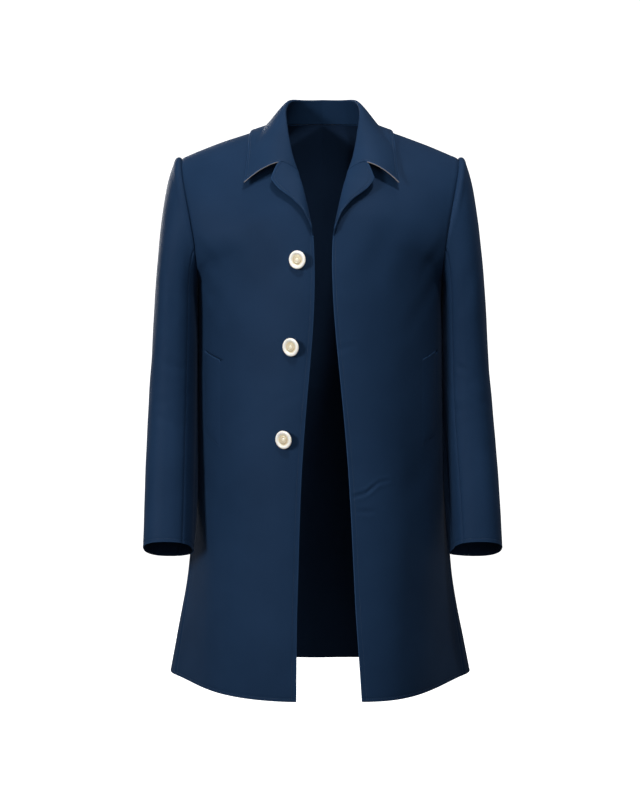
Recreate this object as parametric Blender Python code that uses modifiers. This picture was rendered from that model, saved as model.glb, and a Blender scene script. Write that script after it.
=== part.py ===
"""An overcoat with a falling collar and set-in sleeves, worn open, as thin walls of cloth.

Metres. +Z is up, the front faces -Y and the wearer's left is at +X. The origin is where the wearer's neck
carries the coat: on the middle plane, just under the line between the two points where the shoulder seams
meet the neck. Every panel is a loft through a short table of sections. Angles are in degrees. A heading is
measured in plan, from straight out to the side (0) to straight back (90).
"""

import math

import bmesh
import bpy
import mathutils
import numpy as np

BODY_CLOTH = 0.0018
SLEEVE_CLOTH = 0.0016
COLLAR_CLOTH = 0.0026
WELT_CLOTH = 0.0014
SEAM_GAP = 0.0003

BACK_NECK_ROW = 3
UNDERARM_ROW = 7
HEM_ROW = 13
ROWS_ABOVE_UNDERARM = 2
ROWS_BELOW_UNDERARM = 10
POINTS_ACROSS_FRONT = 12
POINTS_ACROSS_BACK_HALF = 9


def table(columns, rows):
    """Sections as one array for each named column."""
    return {name: np.array(values, float) for name, values in zip(columns.split(), zip(*rows))}


# The neckline, roll line and front edge, from the neck point of the shoulder to the hem.
FRONT_EDGE = table(
    "x y z heading reach",
    [
        (0.0880, 0.012, 0.0045, 0, 0.045),
        (0.0865, -0.025, -0.0100, -3, 0.048),
        (0.0780, -0.055, -0.0330, -6, 0.050),
        (0.0640, -0.080, -0.0580, -9, 0.052),
        (0.0420, -0.098, -0.0790, -11, 0.055),
        (0.0280, -0.124, -0.1220, -14, 0.060),
        (0.0180, -0.140, -0.1680, -9, 0.065),
        (0.0136, -0.148, -0.2150, -6, 0.075),
        (0.0160, -0.152, -0.3000, -3, 0.085),
        (0.0263, -0.154, -0.4200, -2, 0.095),
        (0.0385, -0.157, -0.5700, -1, 0.105),
        (0.0455, -0.161, -0.7300, 0, 0.110),
        (0.0505, -0.165, -0.8500, 1, 0.115),
        (0.0537, -0.168, -0.9355, 2, 0.115),
    ],
)

# The back neckline and the centre back, from the neck point of the shoulder to the hem.
CENTRE_BACK = table(
    "x y z heading reach",
    [
        (0.0880, 0.012, 0.0045, 0, 0.045),
        (0.0790, 0.050, 0.0110, 6, 0.048),
        (0.0470, 0.083, 0.0150, 10, 0.060),
        (0.0000, 0.093, 0.0160, 0, 0.080),
        (0.0000, 0.118, -0.0450, 0, 0.080),
        (0.0000, 0.131, -0.1100, 0, 0.085),
        (0.0000, 0.137, -0.1800, 0, 0.090),
        (0.0000, 0.137, -0.2500, 0, 0.095),
        (0.0000, 0.131, -0.3300, 0, 0.100),
        (0.0000, 0.127, -0.4300, 0, 0.100),
        (0.0000, 0.131, -0.5700, 0, 0.100),
        (0.0000, 0.148, -0.7300, 0, 0.110),
        (0.0000, 0.164, -0.8500, 0, 0.125),
        (0.0000, 0.177, -0.9355, 0, 0.135),
    ],
)

# The armhole seam, from the tip of the shoulder to the underarm, where the side seam starts. Pad is how far
# the shoulder stands above a straight line from the neck.
FRONT_ARMHOLE = table(
    "x y z heading reach pad",
    [
        (0.2325, 0.012, -0.0495, 0, 0.045, 0.004),
        (0.2308, -0.028, -0.0660, 8, 0.045, 0.003),
        (0.2252, -0.054, -0.0970, 20, 0.045, 0.001),
        (0.2180, -0.070, -0.1330, 34, 0.042, 0.000),
        (0.2110, -0.077, -0.1700, 50, 0.040, 0.000),
        (0.2060, -0.072, -0.2060, 68, 0.042, 0.000),
        (0.2040, -0.050, -0.2370, 82, 0.055, 0.000),
        (0.2040, -0.010, -0.2560, 90, 0.075, 0.000),
    ],
)
BACK_ARMHOLE = table(
    "x y z heading reach pad",
    [
        (0.2325, 0.012, -0.0495, 0, 0.045, 0.004),
        (0.2285, 0.050, -0.0700, -8, 0.045, 0.003),
        (0.2220, 0.075, -0.1040, -20, 0.045, 0.001),
        (0.2155, 0.088, -0.1400, -34, 0.045, 0.000),
        (0.2105, 0.091, -0.1760, -48, 0.045, 0.000),
        (0.2070, 0.082, -0.2100, -66, 0.050, 0.000),
        (0.2050, 0.050, -0.2400, -82, 0.060, 0.000),
        (0.2040, -0.010, -0.2560, -90, 0.085, 0.000),
    ],
)

# The side seam, from the underarm to the hem. The heading is the front's as it passes to the back.
SIDE_SEAM = table(
    "x y z heading front_reach back_reach",
    [
        (0.2040, -0.010, -0.2560, 90, 0.075, 0.085),
        (0.2058, 0.004, -0.3300, 84, 0.080, 0.080),
        (0.2075, 0.010, -0.4300, 81, 0.085, 0.082),
        (0.2115, 0.015, -0.5700, 77, 0.085, 0.090),
        (0.2210, 0.021, -0.7300, 72, 0.088, 0.098),
        (0.2375, 0.027, -0.8500, 64, 0.092, 0.106),
        (0.2505, 0.032, -0.9355, 58, 0.096, 0.115),
    ],
)

# Two soft flutes in each half of the back, which deepen from where they start down to the hem.
BACK_FLUTE = 0.006
FLUTES_FROM = -0.45

# The opening hangs a little to the wearer's left.
OPENING_LEAN = table(
    "z shift",
    [(-0.9355, 0.0147), (-0.80, 0.0105), (-0.60, 0.0085), (-0.34, 0.0068), (-0.20, 0.0050), (0.06, 0.0045)],
)

# Rings of the sleeve, each square to the arm: its centre, half its width and depth, and its forward tilt.
SLEEVE = table(
    "x y z half_width half_depth tilt",
    [
        (0.2424, 0.008, -0.285, 0.0362, 0.0800, 0),
        (0.2447, 0.010, -0.340, 0.0378, 0.0770, 2),
        (0.2475, 0.008, -0.400, 0.0392, 0.0740, 5),
        (0.2500, 0.000, -0.460, 0.0405, 0.0705, 9),
        (0.2524, -0.012, -0.520, 0.0412, 0.0665, 13),
        (0.2548, -0.027, -0.580, 0.0415, 0.0620, 17),
        (0.2570, -0.043, -0.640, 0.0414, 0.0575, 20),
        (0.2590, -0.062, -0.702, 0.0412, 0.0530, 21.5),
    ],
)
SLEEVE_SQUARENESS = 0.82
SLEEVE_CAP_ROWS = 7
SLEEVE_TUBE_ROWS = 10
LEFT_ARM_SWING = 0.0045
ARM_SWING_FROM = -0.40
FRONT_SLEEVE_SEAM = 4
BACK_SLEEVE_SEAM = 22

# How the sleeve head leaves the armhole seam, from the underarm (0) by way of the shoulder (0.5).
SLEEVE_HEAD = table(
    "share out up forward drop",
    [
        (0.00, 0.0025, -0.0040, 0.0000, 0.008),
        (0.10, 0.0050, -0.0020, 0.0010, 0.020),
        (0.25, 0.0140, 0.0020, 0.0040, 0.070),
        (0.40, 0.0180, 0.0080, 0.0030, 0.130),
        (0.50, 0.0190, 0.0130, 0.0000, 0.165),
        (0.60, 0.0180, 0.0080, -0.0030, 0.130),
        (0.75, 0.0140, 0.0020, -0.0050, 0.075),
        (0.90, 0.0050, -0.0020, -0.0020, 0.020),
        (1.00, 0.0025, -0.0040, 0.0000, 0.008),
    ],
)

# The collar from the centre back to the gorge, a section for each of the neckline's rows: the fold, where the
# leaf's outer edge lies over the body, and how far off it. Crown lifts the leaf near its fold, swell lifts it
# near its outer edge, and lift holds both off the chest.
COLLAR = table(
    "fold_x fold_y fold_z body_row body_share off crown swell lift",
    [
        (0.0000, 0.0800, 0.0560, -3.55, 0.00, 0.0060, 0.014, 0.007, 0.0),
        (0.0350, 0.0710, 0.0550, -2.95, 0.20, 0.0070, 0.013, 0.007, 0.0),
        (0.0580, 0.0440, 0.0520, -2.05, 0.24, 0.0060, 0.011, -0.002, 0.0),
        (0.0655, 0.0080, 0.0350, -0.20, 0.20, 0.0050, 0.010, -0.012, 0.0),
        (0.0620, -0.0280, 0.0080, 1.20, 0.23, 0.0050, 0.010, -0.004, 0.003),
        (0.0560, -0.0600, -0.0260, 2.30, 0.30, 0.0070, 0.012, 0.006, 0.006),
        (0.0490, -0.0840, -0.0550, 3.10, 0.36, 0.0100, 0.020, 0.011, 0.008),
        (0.0410, -0.0990, -0.0760, 3.50, 0.40, 0.0130, 0.031, 0.019, 0.009),
    ],
)
ROWS_A_SECTION = 2
LEAF_COLUMNS = 8
STAND_COLUMNS = 4
STAND_SECTIONS = 6.5
STAND_SEAT = 0.0006

# The lapel from the gorge to the break: the row of the front edge that it turns back from, and its outer
# edge, which rounds its tip. Lift rolls it forward.
LAPEL = table(
    "row edge_x edge_y edge_z lift",
    [
        (4.00, 0.0640, -0.1060, -0.0680, 0.006),
        (4.30, 0.0830, -0.1150, -0.0895, 0.007),
        (4.62, 0.0700, -0.1270, -0.1075, 0.007),
        (5.10, 0.0490, -0.1370, -0.1240, 0.007),
        (5.60, 0.0315, -0.1450, -0.1440, 0.006),
        (6.12, 0.0205, -0.1500, -0.1680, 0.004),
        (6.42, 0.0172, -0.1505, -0.1870, 0.002),
    ],
)
LAPEL_SEAT = 0.0010
LAPEL_ROWS = 10
LAPEL_COLUMNS = 6

# Where each button sits: its height, and its distance from the right front's edge.
BUTTONS = table("z from_edge", [(-0.2194, 0.0255), (-0.3640, 0.0300), (-0.5136, 0.0290)])
BUTTON_STEPS = 24

# A shank button from the middle of its face to the foot of its shank: a low centre, a sunken ring and a rim.
BUTTON_PROFILE = table(
    "radius height",
    [
        (0.0, 0.0087),
        (0.0035, 0.0086),
        (0.0058, 0.0081),
        (0.0072, 0.0075),
        (0.0090, 0.0075),
        (0.0102, 0.0083),
        (0.0122, 0.0088),
        (0.0140, 0.0084),
        (0.0148, 0.0073),
        (0.0148, 0.0063),
        (0.0130, 0.0050),
        (0.0060, 0.0039),
        (0.0024, 0.0028),
        (0.0024, 0.0),
        (0.0, 0.0),
    ],
)

# A pocket welt: how far its front corners lie from the front edge, and how far its outer side is raised.
WELT_TOP = -0.380
WELT_LENGTH = 0.152
WELT_WIDTH = 0.054
WELT_RISE = 0.020
WELT_TOP_FROM_EDGE = 0.168
WELT_FOOT_FROM_EDGE = 0.152
WELT_ROWS = 8
WELT_COLUMNS = 5

HOLLOW_MIDDLE = np.array([0.0, 0.0, -0.3])
INSIDE_NECK = np.array([0.0, 0.0, 0.02])

NAVY = (0.012, 0.028, 0.070, 1.0)
IVORY = (0.86, 0.78, 0.62, 1.0)


def spline(values, at):
    """A natural cubic curve through evenly numbered rows, read at the row numbers given."""
    values = np.asarray(values, float)
    at = np.atleast_1d(np.asarray(at, float))
    inner = len(values) - 2
    bend = np.zeros_like(values)
    if inner > 0:
        system = 4 * np.eye(inner) + np.eye(inner, k=1) + np.eye(inner, k=-1)
        bend[1:-1] = np.linalg.solve(system, 6 * (values[:-2] - 2 * values[1:-1] + values[2:]))
    row = np.clip(at.astype(int), 0, inner)
    after = at - row
    before = 1 - after
    if values.ndim > 1:
        after, before = after[:, None], before[:, None]
    straight = before * values[row] + after * values[row + 1]
    curved = (before**3 - before) * bend[row] + (after**3 - after) * bend[row + 1]
    return straight + curved / 6


def columns(sections, names):
    return np.stack([sections[name] for name in names.split()], axis=-1)


def smooth_step(value, start, end):
    share = np.clip((value - start) / (end - start), 0, 1)
    return share * share * (3 - 2 * share)


def bezier(points, shares):
    """Cubic curves, one for each row of the four arrays of points."""
    a, b, c, d = (corner[:, None, :] for corner in points)
    t = np.asarray(shares, float)[None, :, None]
    return (1 - t) ** 3 * a + 3 * t * (1 - t) ** 2 * b + 3 * t * t * (1 - t) * c + t**3 * d


def heading_vector(degrees):
    radians = np.radians(degrees)
    return np.stack([np.cos(radians), np.sin(radians), np.zeros_like(radians)], axis=-1)


def lean(points):
    """The points moved as the opening hangs: only those near the middle, at the front or round the neck."""
    x, y, z = points[..., 0], points[..., 1], points[..., 2]
    shift = np.interp(z, OPENING_LEAN["z"], OPENING_LEAN["shift"])
    at_front = 1 - smooth_step(y, -0.06, 0.04)
    at_neck = smooth_step(z, -0.12, 0.01)
    shift *= (1 - smooth_step(np.abs(x), 0.06, 0.20)) * np.maximum(at_front, at_neck)
    moved = np.array(points)
    moved[..., 0] += shift
    return moved


def side_of_body(front, rows):
    """The outer end of each section: its point, heading and reach."""
    armhole = columns(FRONT_ARMHOLE, "x y z heading reach pad")
    other = columns(BACK_ARMHOLE, "x y z heading reach pad")
    reach = "front_reach" if front else "back_reach"
    seam = columns(SIDE_SEAM, "x y z heading " + reach)
    seam = np.column_stack([seam, np.zeros(len(seam))])
    if not front:
        armhole, other = other, armhole
        seam[:, 3] -= 180
    all_round = np.concatenate([other[:0:-1], armhole])
    rows = np.asarray(rows, float)
    above = spline(all_round, np.minimum(rows, UNDERARM_ROW) + UNDERARM_ROW)
    below = spline(seam, np.maximum(rows, UNDERARM_ROW) - UNDERARM_ROW)
    return np.where((rows <= UNDERARM_ROW)[:, None], above, below)


def middle_of_body(front, rows):
    """The inner end of each section: on the neckline and the front edge, or down the centre back."""
    names = "x y z heading reach"
    back = columns(CENTRE_BACK, names)
    neck = np.concatenate([back[BACK_NECK_ROW:0:-1], columns(FRONT_EDGE, names)])
    rows = np.asarray(rows, float) * (1 if front else -1)
    along_neck = spline(neck, np.maximum(rows, -BACK_NECK_ROW) + BACK_NECK_ROW)
    down_back = spline(back[BACK_NECK_ROW:], np.maximum(-rows, BACK_NECK_ROW) - BACK_NECK_ROW)
    return np.where((rows > -BACK_NECK_ROW)[:, None], along_neck, down_back)


def half_panel(front, rows, shares):
    """Points of the wearer's left half of the front or back, for section numbers and shares of the width."""
    inner = middle_of_body(front, rows)
    outer = side_of_body(front, rows)
    start, end = inner[:, :3], outer[:, :3]
    rise = np.zeros_like(start)
    rise[:, 2] = (end[:, 2] - start[:, 2]) / 3
    pad = outer[:, 5:6] * np.array([0, 0, 1])
    leaving = start + heading_vector(inner[:, 3]) * inner[:, 4:5] + rise + pad
    arriving = end - heading_vector(outer[:, 3]) * outer[:, 4:5] - rise + pad
    panel = bezier((start, leaving, arriving, end), shares)
    if not front:
        low = smooth_step(-start[:, 2], -FLUTES_FROM, -CENTRE_BACK["z"][-1])
        panel[..., 1] += BACK_FLUTE * low[:, None] * np.sin(2 * np.pi * np.asarray(shares)) ** 2
    return panel


def point_off_body(row, share, off):
    """A point at a distance from the wearer's left half. Rows below zero are the back's."""
    front = row >= 0
    rows = abs(row) + np.array([-0.05, 0, 0.05])
    near = half_panel(front, rows, share + np.array([-0.01, 0, 0.01]))
    return near[1, 1] + normals(near, HOLLOW_MIDDLE)[1, 1] * off


def normals(grid, inside):
    """Unit normals of a grid of points, facing away from a point inside."""
    along = np.gradient(grid, axis=0, edge_order=2)
    across = np.gradient(grid, axis=1, edge_order=2)
    normal = np.cross(along, across)
    normal /= np.linalg.norm(normal, axis=-1, keepdims=True)
    if (normal * (grid - inside)).sum() < 0:
        normal = -normal
    return normal


def trimmed(grid):
    """The grid with half a seam gap taken off each side."""
    grid = np.array(grid)
    for flipped in (grid, grid[::-1], grid.swapaxes(0, 1), grid.swapaxes(0, 1)[::-1]):
        step = flipped[1] - flipped[0]
        flipped[0] += step / np.linalg.norm(step, axis=-1, keepdims=True) * SEAM_GAP / 2
    return grid


def add_material(name, colour, roughness, metallic=0.0):
    material = bpy.data.materials.new(name)
    material.use_nodes = True
    shader = material.node_tree.nodes["Principled BSDF"]
    shader.inputs["Base Color"].default_value = colour
    shader.inputs["Roughness"].default_value = roughness
    shader.inputs["Metallic"].default_value = metallic
    return material


def add_wall(name, *patches, colour=NAVY, roughness=0.62):
    """A closed wall. Each patch is a grid of its outer points and one of its inner points, and patches join
    where their points meet."""
    form = bmesh.new()
    pairs = {}
    cells = []
    for outer, inner in patches:
        keys = [[tuple(np.round(point, 6)) for point in row] for row in outer]
        for i, row in enumerate(keys):
            for j, key in enumerate(row):
                if key not in pairs:
                    pairs[key] = (form.verts.new(outer[i, j]), form.verts.new(inner[i, j]))
        for row, after in zip(keys, keys[1:]):
            cells += zip(row, row[1:], after[1:], after)
    for corners in cells:
        form.faces.new([pairs[key][0] for key in corners])
    border = [edge.verts[:] for edge in form.edges if edge.is_boundary]
    for corners in cells:
        form.faces.new([pairs[key][1] for key in corners])
    partner = dict(pairs.values())
    for start, end in border:
        form.faces.new((start, end, partner[end], partner[start]))
    bmesh.ops.recalc_face_normals(form, faces=form.faces)
    mesh = bpy.data.meshes.new(name)
    form.to_mesh(mesh)
    form.free()
    mesh.shade_smooth()
    mesh.set_sharp_from_angle(angle=math.radians(40))
    mesh.materials.append(add_material(name + "_finish", colour, roughness))
    piece = bpy.data.objects.new(name, mesh)
    coat.objects.link(piece)


def add_cloth(name, grid, facing, thickness, side=1):
    """A wall of cloth under a grid of points, which is mirrored to the wearer's right if side is -1."""
    outer = trimmed(grid)
    mirror = np.array([side, 1, 1])
    add_wall(name, (lean(outer * mirror), lean((outer - facing * thickness) * mirror)))


def both_halves(points):
    """The wearer's left half, whose first row is on the middle plane, with its mirror image before it."""
    return np.concatenate([points[:0:-1] * np.array([-1, 1, 1]), points])


def body_half(front, count):
    """Points and normals of a half. A row past the shoulder seam gives both halves the same normals on it."""
    above = np.arange(0, UNDERARM_ROW, 1 / ROWS_ABOVE_UNDERARM)
    below = np.linspace(UNDERARM_ROW, HEM_ROW, ROWS_BELOW_UNDERARM)
    rows = np.concatenate([[-above[1]], above, below])
    grid = half_panel(front, rows, np.linspace(0, 1, count))
    return grid[1:], normals(grid, HOLLOW_MIDDLE)[1:]


def add_fronts():
    grid, facing = body_half(True, POINTS_ACROSS_FRONT)
    add_cloth("left_front", grid, facing, BODY_CLOTH)
    add_cloth("right_front", grid, facing, BODY_CLOTH, side=-1)


def add_back():
    """The two halves are one piece down the middle, with the neckline open between them."""
    grid, facing = body_half(False, POINTS_ACROSS_BACK_HALF)
    outer = trimmed(grid)
    middle = grid[:, 0, 0] == 0
    outer[middle, 0, 0] = 0
    facing[middle, 0, 0] = 0
    inner = outer - facing * BODY_CLOTH
    mirror = np.array([-1, 1, 1])
    add_wall("back", (lean(outer), lean(inner)), (lean(outer * mirror), lean(inner * mirror)))


def armhole_loop():
    """The armhole seam from the underarm, up the front, over the shoulder and down the back."""
    rows = np.arange(UNDERARM_ROW, -1 / ROWS_ABOVE_UNDERARM, -1 / ROWS_ABOVE_UNDERARM)
    front = side_of_body(True, rows)[:, :3]
    back = side_of_body(False, rows[::-1])[1:, :3]
    return np.concatenate([front, back])


def sleeve_rings(count, rows):
    sections = spline(columns(SLEEVE, "x y z half_width half_depth tilt"), rows)
    angle = 2 * np.pi * np.arange(count) / (count - 1)
    width = -np.sign(np.cos(angle)) * np.abs(np.cos(angle)) ** SLEEVE_SQUARENESS
    depth = -np.sign(np.sin(angle)) * np.abs(np.sin(angle)) ** SLEEVE_SQUARENESS
    rings = np.empty((len(sections), count, 3))
    for ring, (x, y, z, half_width, half_depth, tilt) in zip(rings, sections):
        tilted = math.radians(tilt)
        ring[:, 0] = x + half_width * width
        ring[:, 1] = y + half_depth * depth * math.cos(tilted)
        ring[:, 2] = z - half_depth * depth * math.sin(tilted)
    return rings


def add_sleeves():
    loop = armhole_loop()
    count = len(loop)
    tube = sleeve_rings(count, np.linspace(0, len(SLEEVE["z"]) - 1, SLEEVE_TUBE_ROWS))
    share = np.linspace(0, 1, count)
    leave = np.stack([np.interp(share, SLEEVE_HEAD["share"], SLEEVE_HEAD[name]) for name in
                      ("out", "forward", "up")], axis=-1) * np.array([1, -1, 1])
    down = (tube[1] - tube[0]) / np.linalg.norm(tube[1] - tube[0], axis=-1, keepdims=True)
    drop = np.interp(share, SLEEVE_HEAD["share"], SLEEVE_HEAD["drop"])[:, None]
    head = bezier((loop, loop + leave, tube[0] - down * drop, tube[0]), np.linspace(0, 1, SLEEVE_CAP_ROWS))
    sleeve = np.concatenate([head.swapaxes(0, 1), tube[1:]])
    inside = np.array([SLEEVE["x"][2], SLEEVE["y"][2], SLEEVE["z"][2]])
    for name, side in (("left", 1), ("right", -1)):
        hung = np.array(sleeve)
        low = smooth_step(hung[..., 2], ARM_SWING_FROM, SLEEVE["z"][-1])
        hung[..., 0] += side * LEFT_ARM_SWING * low
        facing = normals(hung, inside)
        top = slice(FRONT_SLEEVE_SEAM, BACK_SLEEVE_SEAM + 1)
        under = np.r_[BACK_SLEEVE_SEAM:count, 1 : FRONT_SLEEVE_SEAM + 1]
        for piece, part in (("top_sleeve", top), ("under_sleeve", under)):
            outer = trimmed(hung[:, part])
            mirror = np.array([side, 1, 1])
            inner = outer - facing[:, part] * SLEEVE_CLOTH
            add_wall(f"{name}_{piece}", (outer * mirror, inner * mirror))


def add_collar():
    """The leaf, which falls from the fold, and the stand, which comes up under it from the neckline."""
    rows = np.arange(0, len(COLLAR["fold_x"]) - 1 + 1 / (2 * ROWS_A_SECTION), 1 / ROWS_A_SECTION)
    fold = spline(columns(COLLAR, "fold_x fold_y fold_z"), rows)
    places = spline(columns(COLLAR, "body_row body_share off"), rows)
    edge = np.array([point_off_body(*place) for place in places])
    crown, swell, lift = spline(columns(COLLAR, "crown swell lift"), rows).T
    flat = np.zeros_like(crown)
    leaving = fold + (edge - fold) / 3 + np.stack([flat, -lift, crown], axis=-1)
    arriving = fold + (edge - fold) * 2 / 3 + np.stack([flat, -lift, swell], axis=-1)
    leaf = bezier((fold, leaving, arriving, edge), np.linspace(0, 1, LEAF_COLUMNS))
    whole = both_halves(leaf)
    facing = normals(whole, HOLLOW_MIDDLE)
    add_cloth("collar_leaf", whole, facing, COLLAR_CLOTH)
    under_fold = (whole - facing * COLLAR_CLOTH)[len(rows) - 1:, 0]
    count = np.count_nonzero(rows <= STAND_SECTIONS)
    from_shoulder = rows[:count] - BACK_NECK_ROW
    foot = middle_of_body(True, from_shoulder)[:, :3] + np.array([0, 0, STAND_SEAT])
    top = under_fold[:count] - np.array([0, 0, SEAM_GAP])
    share = np.linspace(0, 1, STAND_COLUMNS)[None, :, None]
    stand = both_halves(foot[:, None] * (1 - share) + top[:, None] * share)
    add_cloth("collar_stand", stand, normals(stand, INSIDE_NECK), COLLAR_CLOTH)


def add_lapels():
    rows = np.linspace(0, len(LAPEL["row"]) - 1, LAPEL_ROWS)
    roll = middle_of_body(True, spline(LAPEL["row"], rows))[:, :3] - np.array([0, LAPEL_SEAT, 0])
    edge = spline(columns(LAPEL, "edge_x edge_y edge_z"), rows)
    lift = spline(LAPEL["lift"], rows)
    forward = np.stack([0 * lift, -lift, 0 * lift], axis=-1)
    lapel = bezier((roll, roll + forward, (roll + 2 * edge) / 3 + forward, edge),
                   np.linspace(0, 1, LAPEL_COLUMNS))
    facing = normals(lapel, HOLLOW_MIDDLE)
    add_cloth("left_lapel", lapel, facing, COLLAR_CLOTH)
    add_cloth("right_lapel", lapel, facing, COLLAR_CLOTH, side=-1)


def front_point(z, from_edge):
    """A point of the left front and its normal, for a height at the front edge and a distance along."""
    row = np.interp(-z, -FRONT_EDGE["z"][UNDERARM_ROW:], np.arange(UNDERARM_ROW, HEM_ROW + 1))
    shares = np.linspace(0, 1, 81)
    strip = half_panel(True, [row - 0.05, row, row + 0.05], shares)
    lengths = np.linalg.norm(np.diff(strip[1], axis=0), axis=-1)
    share = np.interp(from_edge, np.concatenate([[0], np.cumsum(lengths)]), shares)
    near = half_panel(True, [row - 0.05, row, row + 0.05], [share - 0.01, share, share + 0.01])
    return near[1, 1], normals(near, HOLLOW_MIDDLE)[1, 1]


def add_welts():
    down = np.linspace(0, 1, WELT_ROWS)
    across = np.linspace(0, 1, WELT_COLUMNS)
    seat = np.empty((WELT_ROWS, WELT_COLUMNS, 3))
    facing = np.empty_like(seat)
    for i, fall in enumerate(down):
        front_side = WELT_TOP_FROM_EDGE + (WELT_FOOT_FROM_EDGE - WELT_TOP_FROM_EDGE) * fall
        for j, reach in enumerate(across):
            z = WELT_TOP - WELT_LENGTH * fall + WELT_RISE * reach
            seat[i, j], facing[i, j] = front_point(z, front_side + WELT_WIDTH * reach)
    for name, side in (("left", 1), ("right", -1)):
        mirror = np.array([side, 1, 1])
        inner = lean((seat + facing * SEAM_GAP) * mirror)
        outer = lean((seat + facing * (SEAM_GAP + WELT_CLOTH)) * mirror)
        add_wall(name + "_welt", (outer, inner))


def add_buttons():
    """Turned buttons on the wearer's right front, each square to the cloth on its shank."""
    mirror = np.array([-1, 1, 1])
    for number, (z, from_edge) in enumerate(zip(BUTTONS["z"], BUTTONS["from_edge"]), 1):
        mesh = bpy.data.meshes.new(f"button_{number}")
        form = bmesh.new()
        verts = [form.verts.new((radius, 0, height)) for radius, height in zip(*BUTTON_PROFILE.values())]
        for start, end in zip(verts, verts[1:]):
            form.edges.new((start, end))
        form.to_mesh(mesh)
        form.free()
        mesh.materials.append(add_material(f"button_{number}_finish", IVORY, 0.25))
        button = bpy.data.objects.new(f"button_{number}", mesh)
        turned = button.modifiers.new("Turned", "SCREW")
        turned.steps = BUTTON_STEPS
        turned.render_steps = BUTTON_STEPS
        turned.use_merge_vertices = True
        turned.merge_threshold = 0.00001
        turned.use_smooth_shade = True
        seat, facing = front_point(z, from_edge)
        out = mathutils.Vector(facing * mirror)
        button.rotation_mode = "QUATERNION"
        button.rotation_quaternion = out.to_track_quat("Z", "Y")
        button.location = mathutils.Vector(lean(seat * mirror)) + out * SEAM_GAP
        coat.objects.link(button)


for old in list(bpy.data.objects):
    bpy.data.objects.remove(old, do_unlink=True)
coat = bpy.data.collections.new("overcoat")
bpy.context.scene.collection.children.link(coat)

add_fronts()
add_back()
add_sleeves()
add_collar()
add_lapels()
add_welts()
add_buttons()
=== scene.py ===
"""A navy gabardine overcoat with a falling collar, worn open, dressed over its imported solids.

Metres, in the solids' frame: +Z is up, the front faces -Y and the coat's left, as it is worn, is at +X. Only
the tables give lengths in millimetres. Angles are in degrees, and a heading is measured in plan, from
straight out to the side (0) to straight back (90).
"""

import math

import bpy
import numpy as np
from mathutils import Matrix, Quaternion, Vector
from mathutils.bvhtree import BVHTree


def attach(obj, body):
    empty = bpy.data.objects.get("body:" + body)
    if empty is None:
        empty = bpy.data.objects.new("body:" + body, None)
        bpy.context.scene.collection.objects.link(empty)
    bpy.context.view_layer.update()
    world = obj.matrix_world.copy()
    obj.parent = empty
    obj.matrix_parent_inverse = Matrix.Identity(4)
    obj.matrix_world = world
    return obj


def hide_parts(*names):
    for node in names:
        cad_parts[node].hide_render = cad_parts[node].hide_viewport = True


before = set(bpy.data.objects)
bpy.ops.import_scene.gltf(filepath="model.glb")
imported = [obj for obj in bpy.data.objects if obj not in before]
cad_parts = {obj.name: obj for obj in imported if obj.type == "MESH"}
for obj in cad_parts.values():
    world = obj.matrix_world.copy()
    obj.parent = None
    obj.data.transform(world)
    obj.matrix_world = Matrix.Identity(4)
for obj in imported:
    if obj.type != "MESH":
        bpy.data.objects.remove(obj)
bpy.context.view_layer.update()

# ---- Fronts ----
# The right and left fronts, each cut whole from a fine, steep-twilled wool gabardine and faced with it. They
# hang from the shoulder and armhole, have no darts, and are turned and edge-stitched down to the hem.

BODY_CLOTH = 0.0018
BACK_NECK_ROW = 3
UNDERARM_ROW = 7
HEM_ROW = 13
BREAK_ROW = 6.45
SIDES = ((1, "left"), (-1, "right"))
NOT_LENGTHS = ("heading", "tilt", "share", "row", "body_row", "body_share")


def table(columns, rows):
    """Sections as one array for each named column. Lengths, given in millimetres, are read in metres."""
    columns = columns.split()
    scales = [1 if name in NOT_LENGTHS else 1000 for name in columns]
    return dict(zip(columns, (np.array(rows, float) / scales).T))


# The neckline, roll line and front edge, from the neck point of the shoulder to the hem.
FRONT_EDGE = table("x y z heading reach", [
    (88, 12, 4.5, 0, 45),
    (86.5, -25, -10, -3, 48),
    (78, -55, -33, -6, 50),
    (64, -80, -58, -9, 52),
    (42, -98, -79, -11, 55),
    (28, -124, -122, -14, 60),
    (18, -140, -168, -9, 65),
    (13.6, -148, -215, -6, 75),
    (16, -152, -300, -3, 85),
    (26.3, -154, -420, -2, 95),
    (38.5, -157, -570, -1, 105),
    (45.5, -161, -730, 0, 110),
    (50.5, -165, -850, 1, 115),
    (53.7, -168, -935.5, 2, 115),
])

# The back neckline and the centre back, from the neck point of the shoulder to the hem.
CENTRE_BACK = table("x y z heading reach", [
    (88, 12, 4.5, 0, 45),
    (79, 50, 11, 6, 48),
    (47, 83, 15, 10, 60),
    (0, 93, 16, 0, 80),
    (0, 118, -45, 0, 80),
    (0, 131, -110, 0, 85),
    (0, 137, -180, 0, 90),
    (0, 137, -250, 0, 95),
    (0, 131, -330, 0, 100),
    (0, 127, -430, 0, 100),
    (0, 131, -570, 0, 100),
    (0, 148, -730, 0, 110),
    (0, 164, -850, 0, 125),
    (0, 177, -935.5, 0, 135),
])

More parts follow.
